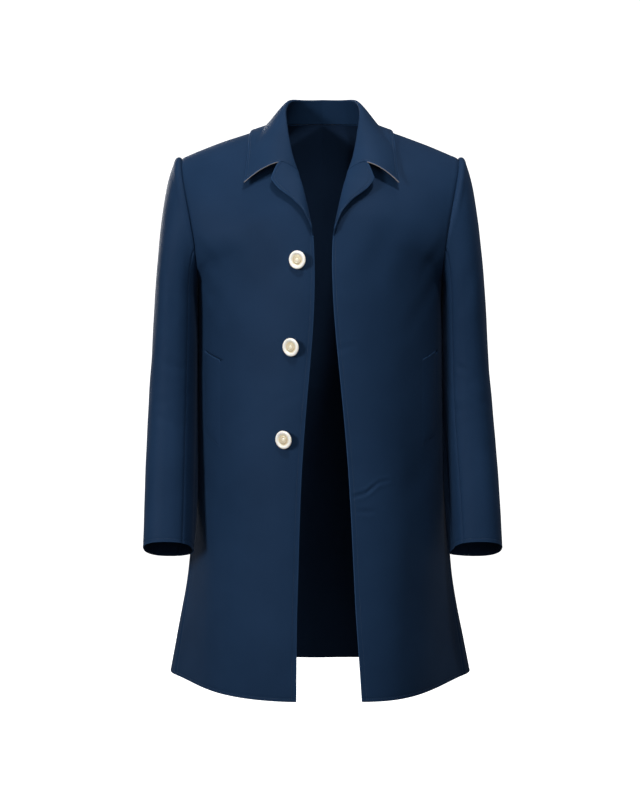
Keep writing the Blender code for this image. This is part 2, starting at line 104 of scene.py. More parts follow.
# The armhole seam, from the tip of the shoulder to the underarm, where the side seam starts.
FRONT_ARMHOLE = table("x y z heading reach pad", [
    (232.5, 12, -49.5, 0, 45, 4),
    (230.8, -28, -66, 8, 45, 3),
    (225.2, -54, -97, 20, 45, 1),
    (218, -70, -133, 34, 42, 0),
    (211, -77, -170, 50, 40, 0),
    (206, -72, -206, 68, 42, 0),
    (204, -50, -237, 82, 55, 0),
    (204, -10, -256, 90, 75, 0),
])
BACK_ARMHOLE = table("x y z heading reach pad", [
    (232.5, 12, -49.5, 0, 45, 4),
    (228.5, 50, -70, -8, 45, 3),
    (222, 75, -104, -20, 45, 1),
    (215.5, 88, -140, -34, 45, 0),
    (210.5, 91, -176, -48, 45, 0),
    (207, 82, -210, -66, 50, 0),
    (205, 50, -240, -82, 60, 0),
    (204, -10, -256, -90, 85, 0),
])

# The side seam, from the underarm to the hem. The heading is the front's as it passes to the back.
SIDE_SEAM = table("x y z heading front_reach back_reach", [
    (204, -10, -256, 90, 75, 85),
    (205.8, 4, -330, 84, 80, 80),
    (207.5, 10, -430, 81, 85, 82),
    (211.5, 15, -570, 77, 85, 90),
    (221, 21, -730, 72, 88, 98),
    (237.5, 27, -850, 64, 92, 106),
    (250.5, 32, -935.5, 58, 96, 115),
])

# Soft flutes fill the back out below the waist.
BACK_FLUTE = 0.006
FLUTES_FROM = -0.45

# The bend of a panel at the height of the underarm is eased out, by sliding shares of it along the rows.
EASED_BY = 1.1
EASED_OVER = 2.4
SEAM_KEEPS = 0.3
EASING = ((-1.0, 0.08), (-0.66, 0.13), (-0.33, 0.18), (0.0, 0.22), (0.33, 0.18), (0.66, 0.13), (1.0, 0.08))

# The opening hangs a little to the left. Only what is in front (y), at the neck (z) and near the middle (x)
# leans.
OPENING_LEAN = table("z shift", [
    (-935.5, 14.7), (-800, 10.5), (-600, 8.5), (-340, 6.8), (-200, 5), (60, 4.5)])
LEANS_IN_FRONT = (-0.06, 0.04)
LEANS_AT_NECK = (-0.12, 0.01)
LEANS_WITHIN = (0.06, 0.20)
HOLLOW_MIDDLE = np.array([0.0, 0.0, -0.3])

# Where the pocket's welt starts: the height of its upper corner, and how far that is from the front edge. The
# cloth dips in a ditch along the welt's upper end.
WELT_TOP = -0.380
WELT_WIDTH = 0.054
WELT_RISE = 0.020
WELT_TOP_FROM_EDGE = 0.168
DITCH_DEPTH = 0.0034
DITCH_ABOVE = 0.0022
DITCH_WIDTH = 0.0019
DITCH_REACH = (-0.06, 0.08, 0.95, 1.1)

# Seams are pressed in, with a slight ridge beside them. The body's edges run on past the armhole seam.
SEAM_DEPTH = 0.0010
SEAM_SOFTNESS = 0.0016
RIDGE_HEIGHT = 0.0003
RIDGE_FROM_SEAM = 0.006
RIDGE_WIDTH = 0.004
SEAM_OVERLAP = 0.0003
ARMHOLE_TURNING = 0.0030
ARMHOLE_ENDS = (5.6, 6.4)

# Free-hanging cloth is a little uneven, clear of the seams.
SLOW_WAVES = 0.00055
QUICK_WAVES = 0.00016
SOFT_FROM_SEAM = 0.02

# Stitches run along the edges and draw the cloth in.
EDGE_STITCH_IN = 0.0050
GROOVE_WIDTH = 0.0012
BODY_GROOVE = 0.0005
HEM_ENDS = 5

# Creases pressed or pulled into the fronts, from one end to the other. Those of the left front show most, a
# little above the knee and by the waist. The cloth lifts on both sides of each.
CREASE_LIFT = 0.45
CREASE_LIFTS_AT = 1.7
CREASE_REACH = (-0.2, 0.25, 0.75, 1.2)
FRONT_CREASES = {}
FRONT_CREASES["left"] = table("x1 y1 z1 x2 y2 z2 width depth", [
    (54, -158, -603.5, 74, -157, -598.5, 3.6, 0.9),
    (72, -157, -599.5, 96, -154, -580.5, 3.1, 1.3),
    (93, -154, -582, 121, -146, -577, 3.8, 0.9),
    (60, -158, -627, 87, -155, -629, 4.5, 0.6),
    (18, -152, -370, 58, -153, -359, 6, 0.5),
    (100, -152, -787, 112, -149, -790, 5, 0.5),
    (200, -50, -250, 150, -115, -340, 14, 1),
    (196, -75, -190, 170, -102, -260, 11, 0.9),
    (120, -125, -150, 80, -145, -260, 20, 1.2),
    (205, -20, -500, 140, -140, -620, 22, 0.9),
    (170, -120, -650, 150, -140, -900, 24, 1.2),
])
FRONT_CREASES["right"] = table("x1 y1 z1 x2 y2 z2 width depth", [
    (-200, -50, -250, -155, -112, -330, 14, 1),
    (-198, -75, -185, -172, -102, -250, 11, 1),
    (-125, -125, -150, -70, -146, -250, 20, 1.2),
    (-20, -153, -430, -75, -152, -456, 8, 0.4),
    (-60, -157, -690, -86, -155, -670, 6, 0.4),
    (-165, -120, -630, -180, -110, -900, 24, 1.2),
    (-100, -150, -560, -118, -152, -910, 28, 1),
])


def spline(values, at):
    """A natural cubic curve through evenly numbered rows, read at the row numbers given."""
    values = np.asarray(values, float)
    at = np.atleast_1d(np.asarray(at, float))
    inner = len(values) - 2
    bend = np.zeros_like(values)
    if inner > 0:
        system = 4 * np.eye(inner) + np.eye(inner, k=1) + np.eye(inner, k=-1)
        bend[1:-1] = np.linalg.solve(system, 6 * (values[:-2] - 2 * values[1:-1] + values[2:]))
    row = np.clip(at.astype(int), 0, inner)
    after = at - row
    before = 1 - after
    if values.ndim > 1:
        after, before = after[:, None], before[:, None]
    straight = before * values[row] + after * values[row + 1]
    curved = (before**3 - before) * bend[row] + (after**3 - after) * bend[row + 1]
    return straight + curved / 6


def columns(sections, names):
    """The named columns of a table, side by side."""
    return np.stack([sections[name] for name in names.split()], axis=-1)


def smooth_step(value, start, end):
    """From 0 at the start to 1 at the end, level at both."""
    share = np.clip((value - start) / (end - start), 0, 1)
    return share * share * (3 - 2 * share)


def between(value, rises, full, falls, gone):
    """Smoothly up from 0 to 1, and down again."""
    return smooth_step(value, rises, full) * (1 - smooth_step(value, falls, gone))


def hump(value, middle, width):
    """1 at the middle, and fading smoothly over about a width on either side."""
    return np.exp(-(((value - middle) / width) ** 2))


def nearest(values, wanted):
    """The number of the value that is nearest to the one wanted."""
    return np.argmin(np.abs(values - wanted))


def bezier(points, shares):
    """Cubic curves, one for each row of the four arrays of points."""
    a, b, c, d = (corner[:, None, :] for corner in points)
    t = np.asarray(shares, float)[None, :, None]
    return (1 - t) ** 3 * a + 3 * t * (1 - t) ** 2 * b + 3 * t * t * (1 - t) * c + t**3 * d


def heading_vector(degrees):
    """Level directions for the headings."""
    radians = np.radians(degrees)
    return np.stack([np.cos(radians), np.sin(radians), np.zeros_like(radians)], axis=-1)


def lean(points):
    """The points moved as the opening hangs: only those near the middle, at the front or round the neck."""
    x, y, z = points[..., 0], points[..., 1], points[..., 2]
    shift = np.interp(z, OPENING_LEAN["z"], OPENING_LEAN["shift"])
    in_front = 1 - smooth_step(y, *LEANS_IN_FRONT)
    at_neck = smooth_step(z, *LEANS_AT_NECK)
    shift *= (1 - smooth_step(np.abs(x), *LEANS_WITHIN)) * np.maximum(in_front, at_neck)
    moved = np.array(points)
    moved[..., 0] += shift
    return moved


def side_of_body(front, rows):
    """The outer end of each section: its point, heading and reach."""
    armhole = columns(FRONT_ARMHOLE, "x y z heading reach pad")
    other = columns(BACK_ARMHOLE, "x y z heading reach pad")
    seam = columns(SIDE_SEAM, "x y z heading " + ("front_reach" if front else "back_reach"))
    seam = np.column_stack([seam, np.zeros(len(seam))])
    if not front:
        armhole, other = other, armhole
        seam[:, 3] -= 180
    all_round = np.concatenate([other[:0:-1], armhole])
    rows = np.asarray(rows, float)
    above = spline(all_round, np.minimum(rows, UNDERARM_ROW) + UNDERARM_ROW)
    below = spline(seam, np.maximum(rows, UNDERARM_ROW) - UNDERARM_ROW)
    return np.where((rows <= UNDERARM_ROW)[:, None], above, below)


def middle_of_body(front, rows):
    """The inner end of each section: on the neckline and the front edge, or down the centre back."""
    names = "x y z heading reach"
    back = columns(CENTRE_BACK, names)
    neck = np.concatenate([back[BACK_NECK_ROW:0:-1], columns(FRONT_EDGE, names)])
    rows = np.asarray(rows, float) * (1 if front else -1)
    along_neck = spline(neck, np.maximum(rows, -BACK_NECK_ROW) + BACK_NECK_ROW)
    down_back = spline(back[BACK_NECK_ROW:], np.maximum(-rows, BACK_NECK_ROW) - BACK_NECK_ROW)
    return np.where((rows > -BACK_NECK_ROW)[:, None], along_neck, down_back)


def half_panel(front, rows, shares):
    """Points of the left half of the front or back, for section numbers and shares of the width."""
    inner = middle_of_body(front, rows)
    outer = side_of_body(front, rows)
    start, end = inner[:, :3], outer[:, :3]
    rise = np.zeros_like(start)
    rise[:, 2] = (end[:, 2] - start[:, 2]) / 3
    pad = outer[:, 5:6] * np.array([0, 0, 1])
    leaving = start + heading_vector(inner[:, 3]) * inner[:, 4:5] + rise + pad
    arriving = end - heading_vector(outer[:, 3]) * outer[:, 4:5] - rise + pad
    panel = bezier((start, leaving, arriving, end), shares)
    if not front:
        low = smooth_step(-start[:, 2], -FLUTES_FROM, -CENTRE_BACK["z"][-1])
        panel[..., 1] += BACK_FLUTE * low[:, None] * np.sin(2 * np.pi * np.asarray(shares)) ** 2
    return panel


def eased_panel(front, rows, shares):
    """The half panel with its bend at the height of the underarm eased out, but for the seam's own line."""
    spread = EASED_BY * (1 - smooth_step(np.abs(rows - UNDERARM_ROW), 0, EASED_OVER))
    eased = sum(part * half_panel(front, rows + spread * step, shares) for step, part in EASING)
    share = smooth_step(1 - np.asarray(shares), 0, SEAM_KEEPS)[None, :, None]
    return share * eased + (1 - share) * half_panel(front, rows, shares)


def normals(grid, inside):
    """Unit normals of a grid of points, facing away from a point inside."""
    along = np.gradient(grid, axis=0, edge_order=2)
    across = np.gradient(grid, axis=1, edge_order=2)
    normal = np.cross(along, across)
    normal /= np.linalg.norm(normal, axis=-1, keepdims=True)
    if (normal * (grid - inside)).sum() < 0:
        normal = -normal
    return normal


STOPS_CLOSE_UP = 1.4


def stops(start, end, count, close_start=0.0, close_end=0.0, close_stops=7):
    """Even stops, with closer ones within a short way of either end."""
    closer = (np.arange(close_stops) / close_stops) ** STOPS_CLOSE_UP
    parts = [start + close_start * closer] if close_start else []
    parts.append(np.linspace(start + close_start, end - close_end, count))
    if close_end:
        parts.append(end - close_end * closer[::-1])
    return np.concatenate(parts)


def refined(places, spans):
    """The stops with closer ones over each span, given as its start, end and step."""
    for start, end, step in spans:
        beyond = (places < start - step / 2) | (places > end + step / 2)
        places = np.sort(np.concatenate([places[beyond], np.arange(start, end, step)]))
    return places


def run_along(grid, axis):
    """How far each point lies along the cloth from the grid's first row (axis 0) or column (axis 1)."""
    step = np.linalg.norm(np.diff(grid, axis=axis), axis=-1)
    run = np.cumsum(step, axis=axis)
    return np.concatenate([np.zeros_like(np.take(run, [0], axis=axis)), run], axis=axis)


def creased(grid, creases):
    """How far the cloth sinks at each crease and lifts on its two sides."""
    height = np.zeros(grid.shape[:2])
    for x1, y1, z1, x2, y2, z2, width, depth in zip(*creases.values()):
        start, line = np.array([x1, y1, z1]), np.array([x2 - x1, y2 - y1, z2 - z1])
        share = ((grid - start) @ line) / (line @ line)
        near = start + np.clip(share, 0, 1)[..., None] * line
        away = np.linalg.norm(grid - near, axis=-1) / width
        across = CREASE_LIFT * hump(away, CREASE_LIFTS_AT, 1) - hump(away, 0, 1)
        height += depth * between(share, *CREASE_REACH) * across
    return height


def softness(grid):
    """The slight unevenness of cloth that hangs free: slow waves with quick, low ones over them."""
    x, y, z = np.moveaxis(grid, -1, 0)
    slow = np.sin(31 * x + 9 * z + 1.3) * np.sin(17 * z - 12 * y + 0.4)
    quick = np.sin(83 * x - 37 * z + 2.1) * np.sin(61 * y + 43 * z + 0.7)
    return SLOW_WAVES * slow + QUICK_WAVES * quick


def hanging(grid, creases, from_seam):
    """How far hanging cloth stands in or out: its creases and, clear of the seam, its unevenness."""
    return creased(grid, creases) + softness(grid) * smooth_step(from_seam, 0, SOFT_FROM_SEAM)


def sunk_seam(away):
    """How far the cloth dips beside a seam, by the distance from it."""
    dip = SEAM_DEPTH * np.exp(-away / SEAM_SOFTNESS)
    return RIDGE_HEIGHT * hump(away, RIDGE_FROM_SEAM, RIDGE_WIDTH) - dip


def stitch_groove(from_edge, depth):
    """How far the stitches along an edge draw the cloth in."""
    return -depth * hump(from_edge, EDGE_STITCH_IN, GROOVE_WIDTH)


def turned_in(grid, facing, measure, roll, rows, side):
    """The panel with its outer edge carried past the seam: well into the armhole, barely at the side seam."""
    allowance = SEAM_OVERLAP + ARMHOLE_TURNING * (1 - smooth_step(rows, *ARMHOLE_ENDS))[:, None]
    beyond = grid[:, -1] - grid[:, -2]
    beyond *= allowance / np.linalg.norm(beyond, axis=-1, keepdims=True)
    grid = np.concatenate([grid, (grid[:, -1] + beyond)[:, None]], axis=1)
    facing = np.concatenate([facing, facing[:, -1:]], axis=1)
    past = measure[:, -1] + np.concatenate([allowance * side, allowance * 0], axis=1)
    measure = np.concatenate([measure, past[:, None]], axis=1)
    return grid, facing, measure, np.concatenate([roll, roll[:, -1:] * 0], axis=1)


def wire(tree, node, inputs):
    """Gives each input of a node its value, or links it to another node's output."""
    for name, value in inputs.items():
        if isinstance(value, bpy.types.NodeSocket):
            tree.links.new(value, node.inputs[name])
        else:
            node.inputs[name].default_value = value


def add_node(tree, kind, output, inputs={}, **settings):
    """The named output of a new node."""
    node = tree.nodes.new(kind)
    for name, value in settings.items():
        setattr(node, name, value)
    wire(tree, node, inputs)
    return node.outputs[output]


def mixed(tree, share, first, second, how="MIX"):
    """A colour between two others, or one laid over the other in the way named."""
    inputs = {0: share, 6: first, 7: second}
    return add_node(tree, "ShaderNodeMix", 2, inputs, data_type="RGBA", blend_type=how)


def new_finish(name, inputs):
    """A new material with its node tree and its shader, some of whose inputs are given."""
    material = bpy.data.materials.new(name)
    material.use_nodes = True
    tree = material.node_tree
    shader = tree.nodes["Principled BSDF"]
    wire(tree, shader, inputs)
    return material, tree, shader


def toned(colour, strength):
    """The colour made darker or lighter."""
    return tuple(min(1.0, strength * part) for part in colour[:3]) + (1.0,)


# The twill's lines are 0.8 mm apart, and the floats across them 1.1 mm.
TWILL_TURN = 27
TWILL_SCALE = 400
FLOAT_SCALE = 290
SLUB_SCALE = 700
CLOUD_SCALE = 9
PRESSED = 0.35
# How far the rolled edges are lightened: a painted highlight along the folds.
PAINTED_EDGE_HIGHLIGHT = 0.35


def gabardine(name, cloth, yarn, roughness, sheen):
    """Fine wool gabardine on a piece's own cloth measure: steep twill lines of a lighter yarn over a dark
    one, a shorter float across them and a little slub, clouded by pressing, with painted highlights at the
    edges."""
    material, tree, shader = new_finish(name, {
        "Roughness": roughness, "Specular IOR Level": 0.04,
        "Sheen Weight": sheen, "Sheen Roughness": 0.38, "Sheen Tint": (0.46, 0.62, 1.0, 1.0),
    })
    measure = add_node(tree, "ShaderNodeUVMap", "UV", uv_map="cloth")
    steep = add_node(tree, "ShaderNodeMapping", "Vector",
                     {"Vector": measure, "Rotation": (0, 0, math.radians(TWILL_TURN))})
    twill = add_node(tree, "ShaderNodeTexWave", "Color",
                     {"Vector": steep, "Scale": TWILL_SCALE, "Distortion": 0.6, "Detail Scale": 1.5})
    floats = add_node(tree, "ShaderNodeTexWave", "Color",
                      {"Vector": steep, "Scale": FLOAT_SCALE, "Distortion": 1.0}, bands_direction="Y")
    slub = add_node(tree, "ShaderNodeTexNoise", "Color", {"Vector": steep, "Scale": SLUB_SCALE, "Detail": 3})
    lines = mixed(tree, 0.55, twill, floats, "MULTIPLY")
    lines = mixed(tree, 0.5, lines, slub, "SOFT_LIGHT")
    colour = mixed(tree, lines, cloth, yarn)

    place = add_node(tree, "ShaderNodeTexCoord", "Object")
    cloud = add_node(tree, "ShaderNodeTexNoise", "Fac", {"Vector": place, "Scale": CLOUD_SCALE, "Detail": 4})
    pressed = add_node(tree, "ShaderNodeMapRange", "Result",
                       {"Value": cloud, "From Min": 0.35, "From Max": 0.65, "To Max": PRESSED})
    colour = mixed(tree, pressed, colour, toned(cloth, 0.80))
    # Painted highlight: the rolled edges are lightened towards a brighter tone of the yarn, standing in for
    # light catching the folds.
    at_edge = add_node(tree, "ShaderNodeAttribute", "Fac", attribute_name="fold")
    edge_highlight_share = add_node(tree, "ShaderNodeMath", "Value", {0: at_edge, 1: PAINTED_EDGE_HIGHLIGHT}, operation="MULTIPLY")
    colour = mixed(tree, edge_highlight_share, colour, toned(yarn, 1.9))
    relief = add_node(tree, "ShaderNodeBump", "Normal",
                      {"Strength": 0.32, "Distance": 0.0002, "Height": lines})
    wire(tree, shader, {"Base Color": colour, "Normal": relief})
    return material


navy_gabardine = gabardine(
    "navy_gabardine", (0.0072, 0.0210, 0.0520, 1), (0.0165, 0.0420, 0.0940, 1), 0.58, 0.03)
# The reverse is a darker copy of the face cloth, with a duller finish: painted shade on the inside faces of
# the coat.
shaded_gabardine_reverse = gabardine(
    "shaded_gabardine_reverse", (0.0050, 0.0130, 0.0320, 1), (0.0110, 0.0260, 0.0580, 1), 0.75, 0.05)


def placed(name, data):
    """A new object in the scene."""
    item = bpy.data.objects.new(name, data)
    bpy.context.scene.collection.objects.link(item)
    return item


def quads_of(grid, outward, first):
    """The faces of a grid whose points are numbered from first, wound so that they face outward."""
    rows, count = grid.shape[:2]
    index = first + np.arange(rows * count).reshape(rows, count)
    cells = np.stack([index[:-1, :-1], index[:-1, 1:], index[1:, 1:], index[1:, :-1]], axis=-1)
    i, j = rows // 2, count // 2
    turn = np.cross(grid[i, j + 1] - grid[i, j], grid[i + 1, j] - grid[i, j]) @ outward[i, j]
    return (cells if turn > 0 else cells[..., ::-1]).reshape(-1, 4)


# The rolled rim of a piece, and how sharp a turn of the cloth shows as an edge.
RIM_TURNS = (45, 90, 135)
SHARP_TURN = 50


def sewn_piece(name, patches, thickness, finishes=(navy_gabardine, shaded_gabardine_reverse), bound=None):
    """One closed piece of cloth from grids of its right side: points, normals, cloth measure, and at each
    point whether the edge there is rolled (1) or cut square in a seam (0). Grids join where their points
    meet. Bound is the finish of edges whose roll is 2."""
    points = np.concatenate([patch[0].reshape(-1, 3) for patch in patches])
    facing = np.concatenate([patch[1].reshape(-1, 3) for patch in patches])
    measure = np.concatenate([patch[2].reshape(-1, 2) for patch in patches])
    roll = np.concatenate([patch[3].ravel() for patch in patches])
    quads, first = [], 0
    for grid, normal, *_ in patches:
        quads.append(quads_of(grid, normal, first))
        first += grid[..., 0].size
    _, kept, merged = np.unique(np.round(points, 6), axis=0, return_index=True, return_inverse=True)
    quads = merged.reshape(-1)[np.concatenate(quads)]
    points, facing, measure, roll = points[kept], facing[kept], measure[kept], roll[kept]
    count = len(points)
    start, end = quads.ravel(), np.roll(quads, -1, axis=1).ravel()
    border = ~np.isin(start * count + end, end * count + start)
    start, end = start[border], end[border]
    outward = np.zeros_like(points)
    across = np.cross(points[end] - points[start], facing[start])
    np.add.at(outward, start, across)
    np.add.at(outward, end, across)
    rim = np.unique(start)
    outward = outward[rim] / np.linalg.norm(outward[rim], axis=1, keepdims=True)
    inner = points - facing * thickness
    middle = (points[rim] + inner[rim]) / 2
    number = np.zeros(count, int)
    number[rim] = np.arange(len(rim))
    rings = [points, inner]
    levels = [np.arange(count)]
    for k, angle in enumerate(np.radians(RIM_TURNS)):
        out = outward * np.sin(angle) * np.minimum(roll[rim], 1)[:, None]
        rings.append(middle + (facing[rim] * np.cos(angle) + out) * thickness / 2)
        levels.append(2 * count + k * len(rim) + number)
    levels.append(count + np.arange(count))
    sides = [np.stack([near[end], near[start], far[start], far[end]], axis=1)
             for near, far in zip(levels, levels[1:])]
    faces = np.concatenate([quads, quads[:, ::-1] + count, *sides])
    mesh = bpy.data.meshes.new(name)
    mesh.from_pydata(np.concatenate(rings), [], faces.tolist())
    for finish in finishes:
        mesh.materials.append(finish)
    slots = np.zeros(len(faces), np.int32)
    slots[len(quads): 2 * len(quads)] = 1
    if bound:
        mesh.materials.append(bound)
        edge = (roll[start] > 1.5) & (roll[end] > 1.5)
        edged = np.concatenate([edge & False, *[edge] * (len(sides) - 1)])
        slots[2 * len(quads):][edged] = 2
    mesh.polygons.foreach_set("material_index", slots)
    layer = mesh.uv_layers.new(name="cloth")
    all_measure = np.concatenate([measure, measure, np.tile(measure[rim], (len(RIM_TURNS), 1))])
    layer.data.foreach_set("uv", all_measure[faces.ravel()].ravel().astype(np.float32))
    # Marks the rolled edges, where the cloth's finish paints its edge highlight.
    fold = np.zeros(len(mesh.vertices), np.float32)
    fold[rim] = np.minimum(roll[rim], 1)
    fold[2 * count:] = np.tile(fold[rim], len(RIM_TURNS))
    mesh.attributes.new("fold", "FLOAT", "POINT").data.foreach_set("value", fold)
    mesh.shade_smooth()
    mesh.set_sharp_from_angle(angle=math.radians(SHARP_TURN))
    mesh.update()
    return placed(name, mesh)


def twisted_thread(name, colour):
    """Twisted, mercerised sewing thread: a soft shine over a colour near the cloth's."""
    material, tree, shader = new_finish(name, {"Roughness": 0.42})
    place = add_node(tree, "ShaderNodeTexCoord", "Object")
    twist = add_node(tree, "ShaderNodeTexWave", "Fac", {"Vector": place, "Scale": 900},
                     bands_direction="DIAGONAL")
    wire(tree, shader, {"Base Color": mixed(tree, twist, colour, toned(colour, 0.55))})
    return material


def stitch_tree():
    """A row of stitches along a path: short, fat threads laid along it at even spacing."""
    tree = bpy.data.node_groups.new("stitch_row", "GeometryNodeTree")
    given = {"Path": "Geometry", "Spacing": "Float", "Stitch Length": "Float", "Thread Thickness": "Float",
             "Thread": "Material"}
    for label, kind in given.items():
        tree.interface.new_socket(label, in_out="INPUT", socket_type="NodeSocket" + kind)
    tree.interface.new_socket("Stitches", in_out="OUTPUT", socket_type="NodeSocketGeometry")
    start = tree.nodes.new("NodeGroupInput").outputs
    end = tree.nodes.new("NodeGroupOutput")
    curve = add_node(tree, "GeometryNodeMeshToCurve", "Curve", {"Mesh": start["Path"]})
    even = add_node(tree, "GeometryNodeResampleCurve", "Curve", {"Curve": curve, "Length": start["Spacing"]},
                    mode="LENGTH")
    tangent = add_node(tree, "GeometryNodeInputTangent", "Tangent")
    turn = add_node(tree, "FunctionNodeAlignRotationToVector", "Rotation", {"Vector": tangent}, axis="Z")
    stitch = add_node(tree, "GeometryNodeMeshUVSphere", "Mesh", {"Segments": 6, "Rings": 4, "Radius": 0.5})
    size = add_node(tree, "ShaderNodeCombineXYZ", "Vector", {
        "X": start["Thread Thickness"], "Y": start["Thread Thickness"], "Z": start["Stitch Length"]})
    laid = add_node(tree, "GeometryNodeInstanceOnPoints", "Instances",
                    {"Points": even, "Instance": stitch, "Rotation": turn, "Scale": size})
    real = add_node(tree, "GeometryNodeRealizeInstances", "Geometry", {"Geometry": laid})
    finished = add_node(tree, "GeometryNodeSetMaterial", "Geometry",
                        {"Geometry": real, "Material": start["Thread"]})
    wire(tree, end, {"Stitches": finished})
    return tree


navy_thread = twisted_thread("navy_thread", (0.014, 0.036, 0.084, 1))
stitch_row = stitch_tree()
STITCH = {"Spacing": 0.0034, "Stitch Length": 0.0024, "Thread Thickness": 0.0005, "Thread": navy_thread}
STITCH_LIFT = 0.15
rows_sewn = {}


def stitched(owner, path, facing):
    """A row of stitches along a path on the right side of a piece, nearly half sunk in the cloth."""
    name = f"{owner}_stitches"
    line = bpy.data.meshes.new(name + "_line")
    links = [(i, i + 1) for i in range(len(path) - 1)]
    line.from_pydata(path + facing * STITCH["Thread Thickness"] * STITCH_LIFT, links, [])
    guide = placed(name + "_guide", line)
    sewing = guide.modifiers.new("Stitches", "NODES")
    sewing.node_group = stitch_row
    for socket in stitch_row.interface.items_tree:
        if socket.name in STITCH:
            sewing[socket.identifier] = STITCH[socket.name]
    bpy.context.view_layer.update()
    baked = bpy.data.meshes.new_from_object(guide.evaluated_get(bpy.context.evaluated_depsgraph_get()))
    baked.shade_smooth()
    bpy.data.objects.remove(guide, do_unlink=True)
    rows_sewn[owner] = rows_sewn.get(owner, 0) + 1
    stitches = placed(f"{name}_{rows_sewn[owner]}", baked)
    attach(stitches, "root")
    return stitches


# Rows and columns stand closer at the edges and where the creases are.
front_shares = refined(stops(0, 1, 48, 0.045, 0.03), [(0.09, 0.38, 0.0065), (0.62, 0.97, 0.007)])
front_rows = np.concatenate([
    stops(0, UNDERARM_ROW, 74, 0.25)[:-1],
    stops(UNDERARM_ROW, HEM_ROW, 110, 0, 0.12),
])
front_rows = refined(front_rows, [(8.42, 8.74, 0.010), (9.93, 10.42, 0.008)])
STITCH_SHARE = EDGE_STITCH_IN / 0.235
STITCHES_BELOW = BREAK_ROW + 0.05

front_half = eased_panel(True, front_rows, front_shares)
for side, arm in SIDES:
    name = f"{arm}_front"
    grid = lean(front_half * np.array([side, 1, 1]))
    facing = normals(grid, HOLLOW_MIDDLE)
    from_edge = run_along(grid, 1)
    from_seam = from_edge[:, -1:] - from_edge
    from_shoulder = run_along(grid, 0)
    from_hem = from_shoulder[-1:] - from_shoulder
    free = smooth_step(front_rows, BREAK_ROW - 0.3, BREAK_ROW)[:, None]
    relief = sunk_seam(from_seam) + sunk_seam(from_shoulder)
    relief += hanging(grid, FRONT_CREASES[arm], from_seam)
    reach = (from_edge - WELT_TOP_FROM_EDGE) / WELT_WIDTH
    above_welt = grid[:, :1, 2] - WELT_TOP - WELT_RISE * reach
    relief -= DITCH_DEPTH * between(reach, *DITCH_REACH) * hump(above_welt, DITCH_ABOVE, DITCH_WIDTH)
    relief += stitch_groove(from_edge, BODY_GROOVE) * free + stitch_groove(from_hem, BODY_GROOVE)
    grid = grid + facing * relief[..., None]
    roll = np.zeros(grid.shape[:2])
    roll[:, 0] = free[:, 0]
    roll[-1, 1:-1] = 1
    measure = np.stack([from_edge * side, -from_shoulder], axis=-1)
    turned = turned_in(grid, facing, measure, roll, front_rows, side)
    piece = sewn_piece(name + "_cloth", [turned], BODY_CLOTH)
    column = nearest(front_shares, STITCH_SHARE)
    down = front_rows > STITCHES_BELOW
    down[nearest(from_hem[:, column], EDGE_STITCH_IN) + 1:] = False
    at_hem = nearest(from_hem[:, 0], EDGE_STITCH_IN)
    sewing = [
        stitched(name, grid[down, column], facing[down, column]),
        stitched(name, grid[at_hem, column:-3], facing[at_hem, column:-3]),
    ]
    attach(piece, "root")
    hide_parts(name)

# ---- Back ----
# One piece of the same gabardine from neck to hem, with the neckline hollowed out for the collar stand. It
# hangs clear from the shoulder blades and fills out into a few soft flutes above the hem.

BACK_CREASES = table("x1 y1 z1 x2 y2 z2 width depth", [
    (-55, 120, -110, -45, 128, -300, 30, 1.4),
    (62, 118, -120, 48, 128, -320, 28, 1.3),
    (-190, 75, -230, -120, 120, -330, 14, 1.2),
    (190, 75, -225, 128, 118, -320, 14, 1.3),
    (-185, 60, -300, -150, 100, -400, 12, 0.8),
    (188, 60, -310, 140, 105, -410, 13, 0.8),
    (-70, 130, -430, 20, 128, -455, 12, 0.8),
    (0, 128, -470, 90, 122, -440, 11, 0.7),
    (-120, 125, -600, -150, 160, -915, 30, 1.8),
    (115, 125, -620, 150, 160, -915, 30, 1.8),
    (4, 135, -640, -2, 175, -920, 34, 1.6),
])

# At the height of the arms the back is a little fuller beside each side seam.
SIDE_FULLNESS = 0.0045
FULLNESS_FROM_SEAM = 0.055
FULLNESS_WIDTH = 0.026
BESIDE_ARM = (0.20, 0.27, 0.68, 0.80)
CLEAR_OF_NECK = ((0, 0.03), (3.0, 3.5))

